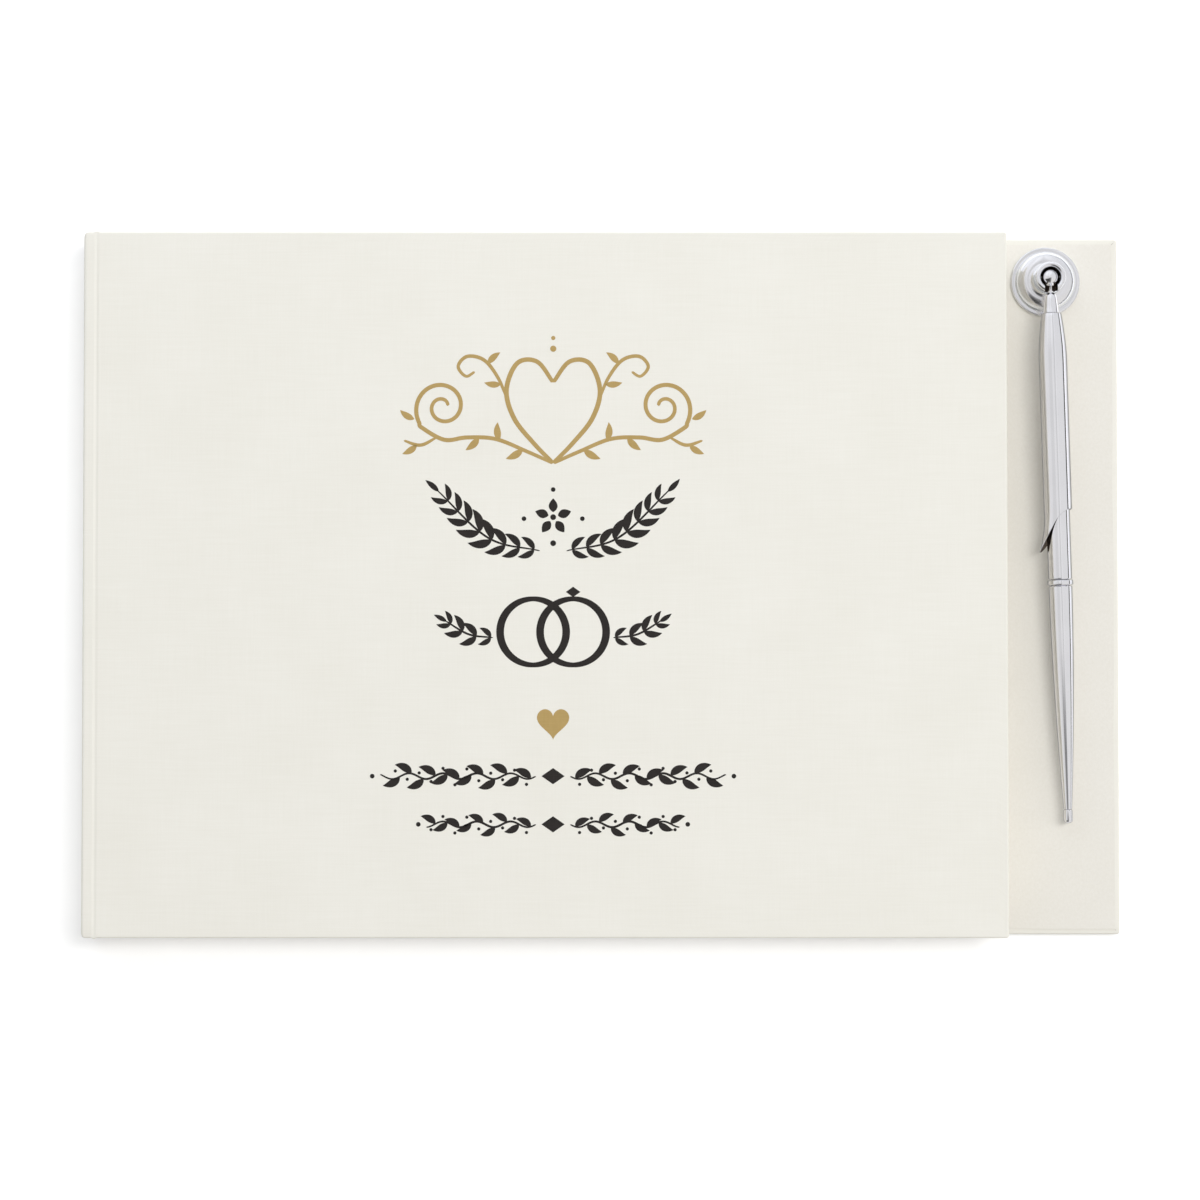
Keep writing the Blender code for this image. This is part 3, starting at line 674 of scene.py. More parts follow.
def pastedown(name, node, outside_z, inward, body):
    """Endpaper glued inside a cover: its edges wander a little, and it sinks inside the turn-ins."""
    low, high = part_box(node)
    panel_end = (BACK_HIGH if inward > 0 else FRONT_HIGH).x
    face_depth = max(abs(low.z - outside_z), abs(high.z - outside_z))

    def wander(slow, fast):
        return PASTEDOWN_WANDER * (math.sin(slow) + 0.6 * math.sin(fast)) / 1.6

    cloth = Cloth()
    grid = []
    for part_x in steps(0, 1, 60):
        column = []
        for part_y in steps(-1, 1, 46):
            x = low.x + (high.x - low.x) * part_x
            y = high.y * part_y
            y += wander(95 * x + 1, 210 * x + 2) * part_y**8 * math.copysign(1, part_y)
            x += wander(88 * y + 2, 190 * y) * part_x**8
            inside = min(panel_end - x, HEAD_Y - abs(y)) - TURN_IN
            sunk = WELL_DEPTH * (1 + math.tanh(inside / WELL_SLOPE)) / 2
            z = outside_z + inward * (face_depth - sunk + ripple(x + 0.1, y) / 2)
            column.append(cloth.point((x, y, z), (x, y)))
        grid.append(column)
    faces = skin(cloth.bm, grid)
    sheet(name, cloth.bm, faces[0][0], (0, 0, inward), ENDPAPER, [node], body)


def endpaper_hinge():
    """The fold of the front endpaper, from the pastedown across the joint to the back of the leaves."""
    low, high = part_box("front_pastedown")
    inside = low.z + 0.01 * MM
    fold_x = LEAF_X - 0.02 * MM
    path = [(x, inside) for x in steps(low.x + 0.02 * MM, LEAF_X + HINGE_FOLD, 26)]
    path += arc((fold_x + HINGE_FOLD, inside - HINGE_FOLD), HINGE_FOLD, 101.5, 180, 5)
    path += [(fold_x, inside - run) for run in steps(0.4 * MM, 1.4 * MM, 3)]
    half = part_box("front_flyleaf")[1].y
    bm = bmesh.new()
    faces = skin(bm, [[bm.verts.new((x, y, z)) for y in steps(-half, half, 12)] for x, z in path])
    kind = ("endpaper", ENDPAPER_LOOK, HINGE_PAPER)
    obj = sheet("endpaper_hinge", bm, faces[0][0], (0, 0, -1), kind)
    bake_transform(obj)


def case():
    cover_cloth("front_cover_linen", FRONT_LOW, FRONT_HIGH, TOP_Z, -1, "front_cover_cloth", "front_cover")
    cover_cloth("back_cover_linen", BACK_LOW, BACK_HIGH, 0, 1, "back_cover_cloth", "back_case")
    joint_cloth("back_joint_linen", 0, 1, "back_joint_cloth", "back_case")
    front_joint = joint_cloth("front_joint_linen", TOP_Z, -1, "front_joint_cloth")
    start, end = (SPINE_HIGH.x, 0, TOP_Z), (BOARD_X, 0, TOP_Z)
    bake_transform(front_joint)
    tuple(start)
    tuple(end)
    spine_cloth()
    spine_turn_ins()
    pastedown("back_endpaper", "back_pastedown", 0, 1, "back_case")
    pastedown("front_endpaper", "front_pastedown", TOP_Z, -1, "front_cover")
    endpaper_hinge()


# --- The text block ---


def folded_sheet(bm, outer, inner, rows):
    """A solid sheet from the two sides of its outline, (x, z) points in step, drawn along Y."""
    walls = [[[bm.verts.new((x, y, z)) for y in rows] for x, z in side] for side in (outer, inner)]
    for wall in walls:
        skin(bm, wall)
    for end in (0, -1):
        skin(bm, [[line[end] for line in wall] for wall in walls])
        skin(bm, [wall[end] for wall in walls])


def leaf_stations(start, end, turning):
    """Places along a leaf, close together where it bends."""
    if not turning:
        return steps(start, end, 8)
    bend_end = LEAF_X + BEND
    return steps(start, bend_end, 26) + steps(bend_end, end, 9)[1:]


def leaves(name, bm, material, node, body):
    """Paper that lies still in the case, or bends at the gutter as it turns with a body of its own."""
    bmesh.ops.recalc_face_normals(bm, faces=bm.faces)
    still = None if body else "back_case"
    obj = piece(name, bm, "leaf_paper", material, stands_for=[node], body=still)
    if body:
        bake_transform(obj)


def section(number):
    """A sewn section: folded sheets one inside the other, each leaf trimmed a hair differently."""
    node = f"section_{number}"
    turning = number <= TURNING_SECTIONS
    low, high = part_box(node)
    radius = (high.z - low.z) / 2
    leaf = (2 * radius - (LEAVES_IN_SECTION - 1) * LEAF_GAP) / LEAVES_IN_SECTION
    centre = Vector((low.x + radius, (low.z + high.z) / 2))
    bm = bmesh.new()
    for folio in range(LEAVES_IN_SECTION // 2):
        outer_radius = radius - folio * (leaf + LEAF_GAP)
        ends = [high.x + (0.11 * math.sin(7.3 * number + 2.9 * folio + k) - 0.12) * MM for k in (0, 4.1)]
        upper, lower = (leaf_stations(centre.x, end, turning) for end in ends)
        sides = []
        for arc_radius in (outer_radius, max(outer_radius - leaf, LEAF_GAP / 2)):
            path = [(x, centre.y + arc_radius) for x in reversed(upper)]
            path += arc(centre, arc_radius, 110, 250, 7)
            sides.append(path + [(x, centre.y - arc_radius) for x in lower])
        half = high.y + (0.09 * math.sin(3.7 * number + 5.3 * folio) - 0.1) * MM
        folded_sheet(bm, *sides, steps(-half, half, 8))
    leaves(f"leaves_{node}", bm, LEAF_LOOK, node, f"leaves_{number}" if turning else None)


def flyleaf(node, body=None):
    low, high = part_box(node)
    stations = leaf_stations(low.x, high.x, body)
    bm = bmesh.new()
    sides = [[(x, z) for x in stations] for z in (high.z, low.z)]
    folded_sheet(bm, *sides, steps(low.y, high.y, 10))
    leaves(f"{node}_sheet", bm, ENDPAPER_LOOK, node, body)


def sewn_band(node):
    """A head or tail band: silk wrapped round a core, in two colours."""
    low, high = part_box(node)
    middle = (low + high) / 2
    core = (high.x - low.x) / 2 - BAND_THREAD
    bm = bmesh.new()
    wrap_of = bm.verts.layers.float.new("wrap")
    rings = []
    for along in steps(0, BAND_WRAPS, 6 * BAND_WRAPS):
        end = min(1, along * 1.2 + 0.3, (BAND_WRAPS - along) * 1.2 + 0.3)
        radius = (core + BAND_THREAD * abs(math.sin(math.pi * along))) * end
        z = low.z + (high.z - low.z) * along / BAND_WRAPS
        ring = [bm.verts.new((*place, z)) for place in arc(middle, radius, 0, 345, 23)]
        for made in ring:
            made[wrap_of] = 1 if int(min(along, BAND_WRAPS - 0.01)) % 3 == 0 else 0
        rings.append(ring)
    wrap(bm, rings)
    bm.faces.new(rings[0])
    bm.faces.new(rings[-1])
    bmesh.ops.recalc_face_normals(bm, faces=bm.faces)
    piece(f"{node}_silk", bm, "band_silk", BAND_SILK, stands_for=[node], body="back_case", smooth=60)


def text_block():
    for number in range(1, SECTIONS + 1):
        section(number)
    flyleaf("front_flyleaf", "flyleaf")
    flyleaf("back_flyleaf")
    sewn_band("headband")
    sewn_band("tailband")


# --- The print on the front cover, in millimetres from the cover's centre ---

PRINT_X = -13.4 * MM
INK_HEIGHT = 0.03 * MM
INK_ROOT = 0.04 * MM  # how far the ink goes down into the cloth
LAYER = 0.0015 * MM
STROKE_STEP = 0.35
VINE_WAVE, VINE_PITCH = 0.75, 8.8


def heading_of(line):
    return math.atan2(line.y, line.x)


class Ink(Cloth):
    """Flat shapes of one colour, each a closed solid a little higher than the last where they cross."""

    layers = 0

    def column(self, place):
        """The top and bottom points of the ink at a place on the cover."""
        x, y = PRINT_X + place[0] * MM, place[1] * MM
        surface = TOP_Z + ripple(x, y)
        lift = INK_HEIGHT + (self.layers % 12) * LAYER
        return [self.point((x, y, z), (x, y)) for z in (surface + lift, surface - INK_ROOT)]

    def ribbon(self, points, half_widths, closed=False):
        """A stroke along a line, as wide at each point as its half width says."""
        self.layers += 1
        points = [Vector(point) for point in points]
        count = len(points)
        pairs = []
        for i, (point, half) in enumerate(zip(points, half_widths)):
            before = points[i - 1] if i or closed else point
            after = points[(i + 1) % count] if i < count - 1 or closed else point
            tangent = (after - before).normalized()
            side = Vector((-tangent.y, tangent.x)) * max(half, 0.004)
            pairs.append((self.column(point + side), self.column(point - side)))
        rings = [[left[0], right[0], right[1], left[1]] for left, right in pairs]
        wrap(self.bm, rings + rings[:1] if closed else rings)
        if not closed:
            add_face(self.bm, rings[0])
            add_face(self.bm, rings[-1])

    def stroke(self, points, width, taper=0.0):
        """A line of even width with round ends, or one that thins towards both ends."""
        points = even(points, STROKE_STEP)
        total = len(points) - 1
        halves = []
        for i in range(total + 1):
            half = width / 2 * (1 - taper + taper * math.sin(math.pi * i / total) ** 0.7)
            to_end = min(i, total - i) * STROKE_STEP
            if to_end < half:
                half = math.sqrt(max(half**2 - (half - to_end) ** 2, 0))
            halves.append(half)
        self.ribbon(points, halves)

    def leaf(self, base, angle, length, width, curl=0.25):
        """A pointed leaf that curls a little to one side."""
        points, halves = [], []
        for part in steps(0, 1, 14):
            turn = angle + curl * (part - 0.5)
            points.append(Vector(base) + Vector((math.cos(turn), math.sin(turn))) * length * part)
            halves.append(width / 2 * math.sin(math.pi * part**0.85) ** 0.9)
        self.ribbon(points, halves)

    def disc(self, centre, radius):
        offsets = [-radius * math.cos(angle) for angle in steps(0, math.pi, 20)]
        points = [Vector(centre) + Vector((offset, 0)) for offset in offsets]
        self.ribbon(points, [math.sqrt(max(radius**2 - offset**2, 0)) for offset in offsets])

    def blob(self, centre, outline):
        """A filled shape whose whole outline can be seen from its centre."""
        self.layers += 1
        middle = self.column(centre)
        rim = [self.column(point) for point in outline]
        for before, after in zip([rim[-1], *rim], rim):
            for level in (0, 1):
                add_face(self.bm, [middle[level], before[level], after[level]])
            add_face(self.bm, [before[0], before[1], after[1], after[0]])

    def diamond(self, centre, half_length, half_width):
        points = [Vector(centre) + Vector((half_length * part, 0)) for part in (-1, -0.5, 0, 0.5, 1)]
        self.ribbon(points, [half_width * part for part in (0, 0.5, 1, 0.5, 0)])

    def sprig(self, start, end, sag, pairs, length, width):
        """A stem between two points with pairs of leaves that shorten towards its tip."""
        middle = ((start[0] + end[0]) / 2, (start[1] + end[1]) / 2 + sag)
        stem = smooth_line([start, middle, end], 20)
        self.stroke(stem, 0.55, 0.5)
        stem = even(stem, 0.2)
        for part in steps(0.05, 0.88, pairs - 1):
            index = int(part * (len(stem) - 2))
            along = heading_of(stem[index + 1] - stem[index])
            size = (1 - 0.36 * abs(2 * part - 0.9)) * length
            for side in (1, -1):
                lean = along + side * math.radians(48)
                self.leaf(stem[index], lean, size, width * size / length, -0.5 * side)
        tip = stem[-1] - stem[-3]
        self.leaf(stem[-1] - tip * 2, heading_of(tip), length * 0.7, width * 0.62, 0.1)

    def finish(self, name, material):
        bmesh.ops.recalc_face_normals(self.bm, faces=self.bm.faces)
        piece(name, self.bm, "ivory_cloth", material, body="front_cover")


def even(points, gap):
    """The same line with points at an even distance."""
    points = [Vector(point) for point in points]
    lengths = [0.0]
    for a, b in zip(points, points[1:]):
        lengths.append(lengths[-1] + (b - a).length)
    count = max(3, round(lengths[-1] / gap))
    made, k = [], 0
    for goal in steps(0, lengths[-1], count):
        while k < len(points) - 2 and lengths[k + 1] < goal:
            k += 1
        span = max(lengths[k + 1] - lengths[k], 1e-9)
        made.append(points[k].lerp(points[k + 1], (goal - lengths[k]) / span))
    return made


def smooth_line(controls, per_span=14):
    """A Catmull-Rom curve through a few points."""
    points = [Vector(control) for control in controls]
    points = [2 * points[0] - points[1], *points, 2 * points[-1] - points[-2]]
    made = []
    for a, b, c, d in zip(points, points[1:], points[2:], points[3:]):
        for t in steps(0, 1, per_span)[:-1]:
            square, cube = a * 2 - b * 5 + c * 4 - d, b * 3 - a - c * 3 + d
            made.append((b * 2 + (c - a) * t + square * t**2 + cube * t**3) / 2)
    return made + [points[-2]]


def spiral(centre, start_radius, end_radius, start_angle, turns):
    made = []
    for part in steps(0, 1, 60):
        radius = start_radius + (end_radius - start_radius) * part**0.8
        angle = math.radians(start_angle) + 2 * math.pi * turns * part
        made.append((centre[0] + radius * math.cos(angle), centre[1] + radius * math.sin(angle)))
    return made


def gold_scroll():
    """A gold heart drawn in one line, with scrolls, tendrils and small leaves on both sides of it."""
    ink = Ink()
    heart_side = [(0, 31.5), (5, 36.6), (10.2, 43.2), (12.2, 50.6), (9.4, 57.6), (4.2, 58), (0, 52.6)]
    scroll = [(0, 31.5), (7, 34.6), (15, 37.8), (22.5, 38.2), (28.4, 37.6)]
    scroll += spiral((28.8, 46.2), 7.7, 1.3, -45, 1.6)
    tendril = [(11.9, 48), (14.4, 53.8), (18, 58.4), (22.4, 59.4), (24.8, 56.8), (22.8, 54.2), (20.4, 55.4)]
    flick = [(30.4, 38.2), (34.6, 36.2), (39, 37.4)]
    strokes = (
        (heart_side, 14, 1.25, 0.2),
        (scroll, 8, 1.1, 0.2),
        (tendril, 14, 0.95, 0.35),
        (flick, 14, 0.9, 0.5),
    )
    for side in (1, -1):
        for line, per_span, width, taper in strokes:
            ink.stroke(smooth_line([(side * x, y) for x, y in line], per_span), width, taper)
    places = (
        (8, 35.1, -38, 5.0),
        (14, 37.4, 76, 4.8),
        (19.4, 38.2, -52, 4.8),
        (13.6, 52.2, -4, 4.4),
        (17, 57.4, 128, 4.4),
        (35.6, 36.2, -40, 4.4),
        (36.2, 43, 24, 4.4),
    )
    for x, y, angle, length in places:
        for side in (1, -1):
            heading = math.radians(angle if side > 0 else 180 - angle)
            ink.leaf((side * x, y), heading, length, length * 0.38, 0.3 * side)
    ink.disc((0, 61.4), 0.8)
    ink.disc((0, 64.2), 0.55)
    ink.finish("gold_scroll", GOLD_INK)


def laurel():
    """Two black leafy branches that part from the middle, with a small flower between them."""
    ink = Ink()
    for side in (1, -1):
        ink.sprig((side * 3.4, 8.6), (side * 30.4, 24.6), -4.6, 8, 6.6, 2.3)
    for degrees in range(90, 450, 72):
        angle = math.radians(degrees)
        ink.leaf((1.3 * math.cos(angle), 17.4 + 1.3 * math.sin(angle)), angle, 3.6, 2.3, 0)
    for x, y, radius in ((0, 17.4, 0.75), (0, 10.6, 0.75), (0, 24.6, 0.6), (-7.6, 17, 0.6), (7.6, 17, 0.6)):
        ink.disc((x, y), radius)
    ink.finish("black_laurel", BLACK_INK)


def rings():
    """Two linked rings between short black sprigs."""
    ink = Ink()
    radius, middle_y = 8.6, -12.5
    for x in (-5.2, 5.2):
        points = [(x + radius * math.cos(a), middle_y + radius * math.sin(a)) for a in TURNED_ANGLES]
        ink.ribbon(points, [0.62 + 0.38 * abs(math.cos(a)) for a in TURNED_ANGLES], closed=True)
    ink.diamond((5.2, -2.1), 1.9, 1.35)
    for side in (1, -1):
        ink.sprig((side * 15.6, -14.0), (side * 28.4, -9.4), -1.4, 4, 5.4, 2.0)
    ink.finish("black_rings", BLACK_INK)


def heart():
    """A plain gold heart."""
    ink = Ink()
    outline = []
    for t in steps(0, 2 * math.pi, 80)[:-1]:
        up = (13 * math.cos(t) - 5 * math.cos(2 * t) - 2 * math.cos(3 * t) - math.cos(4 * t)) / 29
        outline.append((4.2 * math.sin(t) ** 3, 8 * up - 35.9))
    ink.blob((0, -37.2), outline)
    ink.finish("gold_heart", GOLD_INK)


def vine(name, y, half_length, leaf):
    """A rule in the shape of a vine: a small diamond, and from it a waving stem with leaves each way."""

    def stem_at(x, side):
        return side * x, y + VINE_WAVE * math.sin(2 * math.pi / VINE_PITCH * x)

    ink = Ink()
    ink.diamond((0, y), 3.0, 2.1)
    for side in (1, -1):
        ink.stroke(smooth_line([stem_at(x, side) for x in steps(4.4, half_length - 2, 60)], 2), 0.6, 0.4)
        ink.disc((side * half_length, y), 0.6)
        x, up = 5.8, 1
        while x < half_length - 4:
            base = Vector(stem_at(x, side))
            lean = math.radians(up * 42)
            ink.leaf(base, lean if side > 0 else math.pi - lean, leaf, leaf * 0.42, -0.5 * up * side)
            ink.disc(base + Vector((side * 1.1, -up * 1.5)), 0.42)
            x += 3.1
            up = -up
    ink.finish(name, BLACK_INK)


def cover_print():
    gold_scroll()
    laurel()
    rings()
    heart()
    vine("black_vine_upper", -50, 47, 4.9)
    vine("black_vine_lower", -62.5, 35, 4.3)


# --- The pen holder and the pen, in millimetres ---


def round_point(bm, angle, radius, height):
    return bm.verts.new((radius * math.cos(angle), radius * math.sin(angle), height))


def circle(bm, radius, height):
    """A ring of points round Z, which are one and the same on the axis."""
    if radius == 0:
        return [bm.verts.new((0, 0, height))] * TURNED_SIDES
    return [round_point(bm, angle, radius, height) for angle in TURNED_ANGLES]


def turned(outline, dark=()):
    """A solid turned about Z from a closed outline of (radius, height) points. The spans of the outline
    whose index is in dark take the piece's second material, which there is painted shade."""
    bm = bmesh.new()
    rings = [circle(bm, radius, height) for radius, height in outline]
    wrap(bm, rings + rings[:1], dark)
    return bm


def placed(name, bm, where, body, node, *materials, slot="satin_chrome", smooth=32):
    """A closed mesh in millimetres as a piece, moved to its place."""
    bmesh.ops.recalc_face_normals(bm, faces=bm.faces)
    bmesh.ops.transform(bm, matrix=where, verts=bm.verts)
    return piece(name, bm, slot, *materials, stands_for=[node], body=body, smooth=smooth)


def holder_base():
    """The bell and its flange, with every edge eased."""
    outline = [(7.35, 0.06), (8.95, 0.06), (9.12, 0.2), (9.15, 0.7)]
    outline += arc((8.8, 0.7), 0.35, 10, 90, 8)
    outline += [(8.35, 1.08), (8.1, 1.06)]
    outline += arc((8.1, 1.26), 0.2, 270, 180, 5)
    outline += arc((5.0, 1.5), 2.9, 0, 90, 28)
    outline += arc((5.0, 5.9), 1.5, 262, 180, 16)
    outline += [(1.05, 5.95), (1.05, 2.1), (2.5, 2.1), (2.5, 0.8), (7.35, 0.8)]
    placed("bell_base", turned(outline), HOLDER_FRAME, "back_case", "holder_base", CHROME)


def socket_cup():
    """The slotted cup with its rolled rim, and the well that holds the ball, painted dark for shade."""
    hole = 1.45
    recess = -math.degrees(math.acos(hole / CUP_BORE))
    outline = [(1.05, 6.02), (3.35, 6.02), (3.47, 6.12), (3.5, 7.0), (3.72, 8.2), (3.95, 9.4), (4.0, 10.2)]
    outline += arc((3.35, 11.25), 0.65, 0, 180, 20)
    # the well's spans take the painted shade
    well_from = len(outline) - 1
    outline += arc((0, BALL_HEIGHT), CUP_BORE, 0, recess, 18)
    outline += [(hole, 6.7), (1.05, 6.7)]
    bm = turned(outline, dark=range(well_from, len(outline) - 1))
    cut_slot(placed("swivel_cup", bm, SOCKET_FRAME, "socket", "socket_cup", CHROME, PAINTED_SHADE_BORE))


def cut_slot(cup):
    """Cuts the slot that the ball's neck tilts in, with a cutter whose dark colour paints shade on the
    slot's walls, as in the well.
    """
    low, high = Vector(SLOT_LOW), Vector(SLOT_HIGH)
    where = SOCKET_FRAME @ Matrix.Translation((low + high) / 2) @ Matrix.Diagonal((*(high - low), 1))
    bm = bmesh.new()
    bmesh.ops.create_cube(bm, size=1, matrix=where)
    cutter = new_object("slot_cutter", bm, PAINTED_SHADE_BORE)
    cut = cup.modifiers.new("slot", "BOOLEAN")
    cut.operation = "DIFFERENCE"
    cut.object = cutter
    cut.solver = "EXACT"
    apply_modifiers(cup, 32)
    bpy.data.objects.remove(cutter)


def ball_and_stud():
    """The ball, with faint rings from its polishing, on its thin neck and flared shoulder."""
    neck = 0.68
    meets = math.degrees(math.asin(neck / BALL_RADIUS))
    outline = [(0, -BALL_RADIUS)] + arc((0, 0), BALL_RADIUS, -86, 90 - meets - 4, 40)
    outline += [(neck + 0.1, 2.2), (neck, 2.45), (neck, 4.0)]
    outline += [(0.82, 4.12), (1.1, 4.25), (1.42, 4.5), (1.56, 4.8), (1.7, 5.8), (1.88, 7.2), (2.08, 9.1)]
    outline += arc((1.98, 9.18), 0.12, -10, 90, 4)
    outline += [(1.3, 9.3), (1.3, 12.7), (0, 12.7)]
    bm = turned(outline)
    for vertex in bm.verts:
        co = vertex.co
        if co.length < BALL_RADIUS * 1.01 and co.y > 0:
            from_top = math.acos(min(1, co.y / co.length)) * BALL_RADIUS
            wave = math.sin(2 * math.pi * from_top / 0.5)
            vertex.co = co * (1 + 0.006 * wave * max(0, 1 - from_top / 1.7))
    placed("ball_and_stud", bm, PEN_FRAME, "funnel", "ball_stud", STUD_CHROME)


def funnel_radius(along):
    """Outer radius of the funnel: a shoulder that swells into a straight tube."""
    swell = min(1, (along - FUNNEL_START) / FUNNEL_SWELL)
    return FUNNEL_NECK_RADIUS + (FUNNEL_RADIUS - FUNNEL_NECK_RADIUS) * math.sin(math.pi / 2 * swell)


def mouth(angle):
    """How far along the slanted mouth lies. It reaches furthest on the side towards the book."""
    side = math.cos(angle - MOUTH_TURN)
    return FUNNEL_END - MOUTH_SLANT * side + MOUTH_CURVE * side * side


def funnel():
    """The pen's long cap, with a thin rolled edge round its slanted mouth and an inside painted dark for
    shade.
    """
    bm = bmesh.new()

    def ring_at(share, inset, draw_back=0.0):
        """A ring at a share of the way to the mouth, an inset inside the outer surface."""
        ring = []
        for angle in TURNED_ANGLES:
            end = mouth(angle) - draw_back
            along = FUNNEL_START + (end - FUNNEL_START) * share
            lip = max(0, 1 - (end - along) / LIP_LENGTH)
            flare = LIP_FLARE * max(0, -math.cos(angle - MOUTH_TURN)) ** 2 * lip * lip
            ring.append(round_point(bm, angle, funnel_radius(along) - inset + flare, along))
        return ring

    bore, floor_end = 1.4, FUNNEL_START + FUNNEL_FLOOR
    rings = [circle(bm, bore, floor_end), circle(bm, bore, FUNNEL_START)]
    rings.append(circle(bm, FUNNEL_NECK_RADIUS - EASE, FUNNEL_START))
    rings.append(circle(bm, FUNNEL_NECK_RADIUS - 0.3 * EASE, FUNNEL_START + 0.3 * EASE))
    shares = steps(0.004, 0.24, 16) + [0.4, 0.6, 0.74] + steps(0.8, 1, 12)
    rings += [ring_at(share, 0) for share in shares[:-1]]
    rings += [ring_at(1, 0, 0.06), ring_at(1, FUNNEL_WALL * 0.3)]
    # painted shade: from the mouth's inner edge inward, the inside takes the dark material
    painted_shade_from = len(rings)
    rings.append(ring_at(1, FUNNEL_WALL * 0.75, 0.05))
    rings += [ring_at(share, FUNNEL_WALL) for share in steps(0.985, 0.8, 8) + [0.5, 0.24, 0.16, 0.08]]
    rings.append(circle(bm, funnel_radius(floor_end) - FUNNEL_WALL, floor_end))
    wrap(bm, rings + rings[:1], dark=range(painted_shade_from, len(rings)))
    placed("funnel_shell", bm, PEN_FRAME, "funnel", "pen_funnel", PEN_CHROME, PAINTED_SHADE_BORE, smooth=40)


def nib_outline():
    start, plug_end = NIB_START, NOSE_START + 1.6
    outline = [(0, start + 0.02), (0.22, start + 0.06), (0.34, start + 0.22), (0.33, start + 0.4)]
    outline += [(0.5, start + 0.9), (0.78, NOSE_START - 0.35), (0.8, NOSE_START - 0.2)]
    return outline + [(0.8, plug_end), (0, plug_end)]


def nose_outline():
    end, plug_end, bore, bore_start = BARREL_START - 0.1, BARREL_START + 6, 0.9, NOSE_START + 1.7
    outline = [(bore, NOSE_START), (TIP_RADIUS - 0.1, NOSE_START), (TIP_RADIUS, NOSE_START + 0.15)]
    for along in steps(NOSE_START + 0.4, end - EASE, 30):
        share = (along - NOSE_START) / (BARREL_START - NOSE_START)
        outline.append((TIP_RADIUS + (PEN_RADIUS - TIP_RADIUS) * math.sin(math.pi / 2 * share), along))
    outline += [(PEN_RADIUS - EASE, end), (PLUG_RADIUS, end), (PLUG_RADIUS, plug_end)]
    return outline + [(REFILL_BORE, plug_end), (REFILL_BORE, bore_start), (bore, bore_start)]


def barrel_outline():
    end = RING_START - GROOVE
    outline = []
    for edge, inwards in ((BARREL_START, 1), (end, -1)):
        side = [(PEN_BORE, edge), (PEN_RADIUS - EASE, edge), (PEN_RADIUS - 0.02, edge + inwards * EASE)]
        side += [(PEN_RADIUS, edge + inwards * EASE * count) for count in (2, 4)]
        outline += side[::inwards]
    return outline


def ring_outline():
    proud, round_off, end = PEN_RADIUS + 0.28, 0.3, RING_END - SEAM
    centre = proud - round_off
    outline = [(PEN_BORE, RING_START), (centre, RING_START)]
    outline += arc((centre, RING_START + round_off), round_off, -78.5, 0, 6)
    outline += arc((centre, end - round_off), round_off, 0, 78.5, 6)
    return outline + [(centre, end), (PEN_BORE, end)]


def tail_outline():
    start, plug_start, end = RING_END + GROOVE, RING_START - 6, TAIL_END - SEAM
    cap_bore, cap_bore_start = 0.75, 117
    outline = [(REFILL_BORE, plug_start), (PLUG_RADIUS, plug_start), (PLUG_RADIUS, RING_END)]
    outline += [(PEN_BORE, start), (PEN_RADIUS - EASE, start), (PEN_RADIUS - 0.02, start + EASE)]
    for along in steps(RING_END + 0.5, TAIL_END - 0.15, 40):
        share = (along - RING_END) / (TAIL_END - RING_END)
        outline.append((PEN_RADIUS - TAIL_TAPER * share**1.8, along))
    outline += [(PEN_RADIUS - TAIL_TAPER - 0.1, end), (cap_bore, end)]
    return outline + [(cap_bore, cap_bore_start), (REFILL_BORE, cap_bore_start)]


def cap_outline():
    start, peg_start, dome_start = TAIL_END + SEAM, TAIL_END - 4, PEN_END - 0.9
    outline = [(0, peg_start), (0.65, peg_start), (0.65, start), (CAP_RADIUS - EASE, start)]
    outline += [(CAP_RADIUS, start + EASE), (CAP_RADIUS, dome_start)]
    for angle in steps(0.15, 1.5, 9):
        outline.append((CAP_RADIUS * math.cos(angle) ** 0.8, dome_start + 0.88 * math.sin(angle)))
    return outline + [(0, PEN_END - 0.02)]


def pen():
    """The pen's outer pieces, with a fine dark line where each one meets the next."""
    placed("writing_tip", turned(nib_outline()), PEN_FRAME, "pen", "pen_nib", BRASS, slot="brass")
    parts = {
        "nose_cone": ("pen_nose", nose_outline()),
        "barrel_tube": ("pen_barrel", barrel_outline()),
        "centre_ring": ("pen_ring", ring_outline()),
        "tail_tube": ("pen_tail", tail_outline()),
        "tail_button": ("pen_end_cap", cap_outline()),
    }
    for name, (node, outline) in parts.items():
        placed(name, turned(outline), PEN_FRAME, "pen", node, PEN_CHROME)


def pen_holder():
    holder_base()
    socket_cup()
    ball_and_stud()
    funnel()
    pen()


def carried_over():
    """Materials for the CAD nodes whose shapes stay as they are."""
    looks = {
        BOARD_LOOK: ("back_board", "front_board", "spine_board"),
        GAUZE: ("spine_mull",),
        FOAM_LOOK: ("holder_foam_pad",),
        STEEL: ("swivel_washer", "swivel_rivet", "funnel_nut"),
        PAINTED_SHADE_STEEL: ("tilt_pin",),
        PLASTIC: ("funnel_bush", "pen_refill"),
    }
    for material, names in looks.items():
        for name in names:
            node = frame["nodes"][name]
            node.data.materials.clear()
            node.data.materials.append(material)


# --- The studio ---

LENS, SENSOR = 98, 36
CAMERA = (-0.0012, -0.030, 0.8675)
CAMERA_TARGET = (-0.0012, -0.0042, 0.0175)
TABLE_HALF, TABLE_Z = 9, -0.1 * MM
TABLE_GLOW = 0.24
TENT_LEVEL = 0.76
TENT_SHARE = 0.63  # how much of the tent's light falls on matt things, next to what metal shows of it
BACKDROP = 0.72  # what is seen past the table top
WHITE = (1, 1, 1, 1)
SOFTBOXES = {  # place, width and height, watts, colour
    "key": ((0.62, 0.35, 2.8), (0.5, 1.6), 35.0, (1.0, 0.99, 0.98)),
    "side": ((2.0, 0.2, 1.7), (0.8, 2.4), 13.5, (1.0, 0.985, 0.965)),
    "window": ((-0.1, 0.75, 0.6), (0.9, 0.5), 1.8, (0.78, 0.87, 1.0)),
}


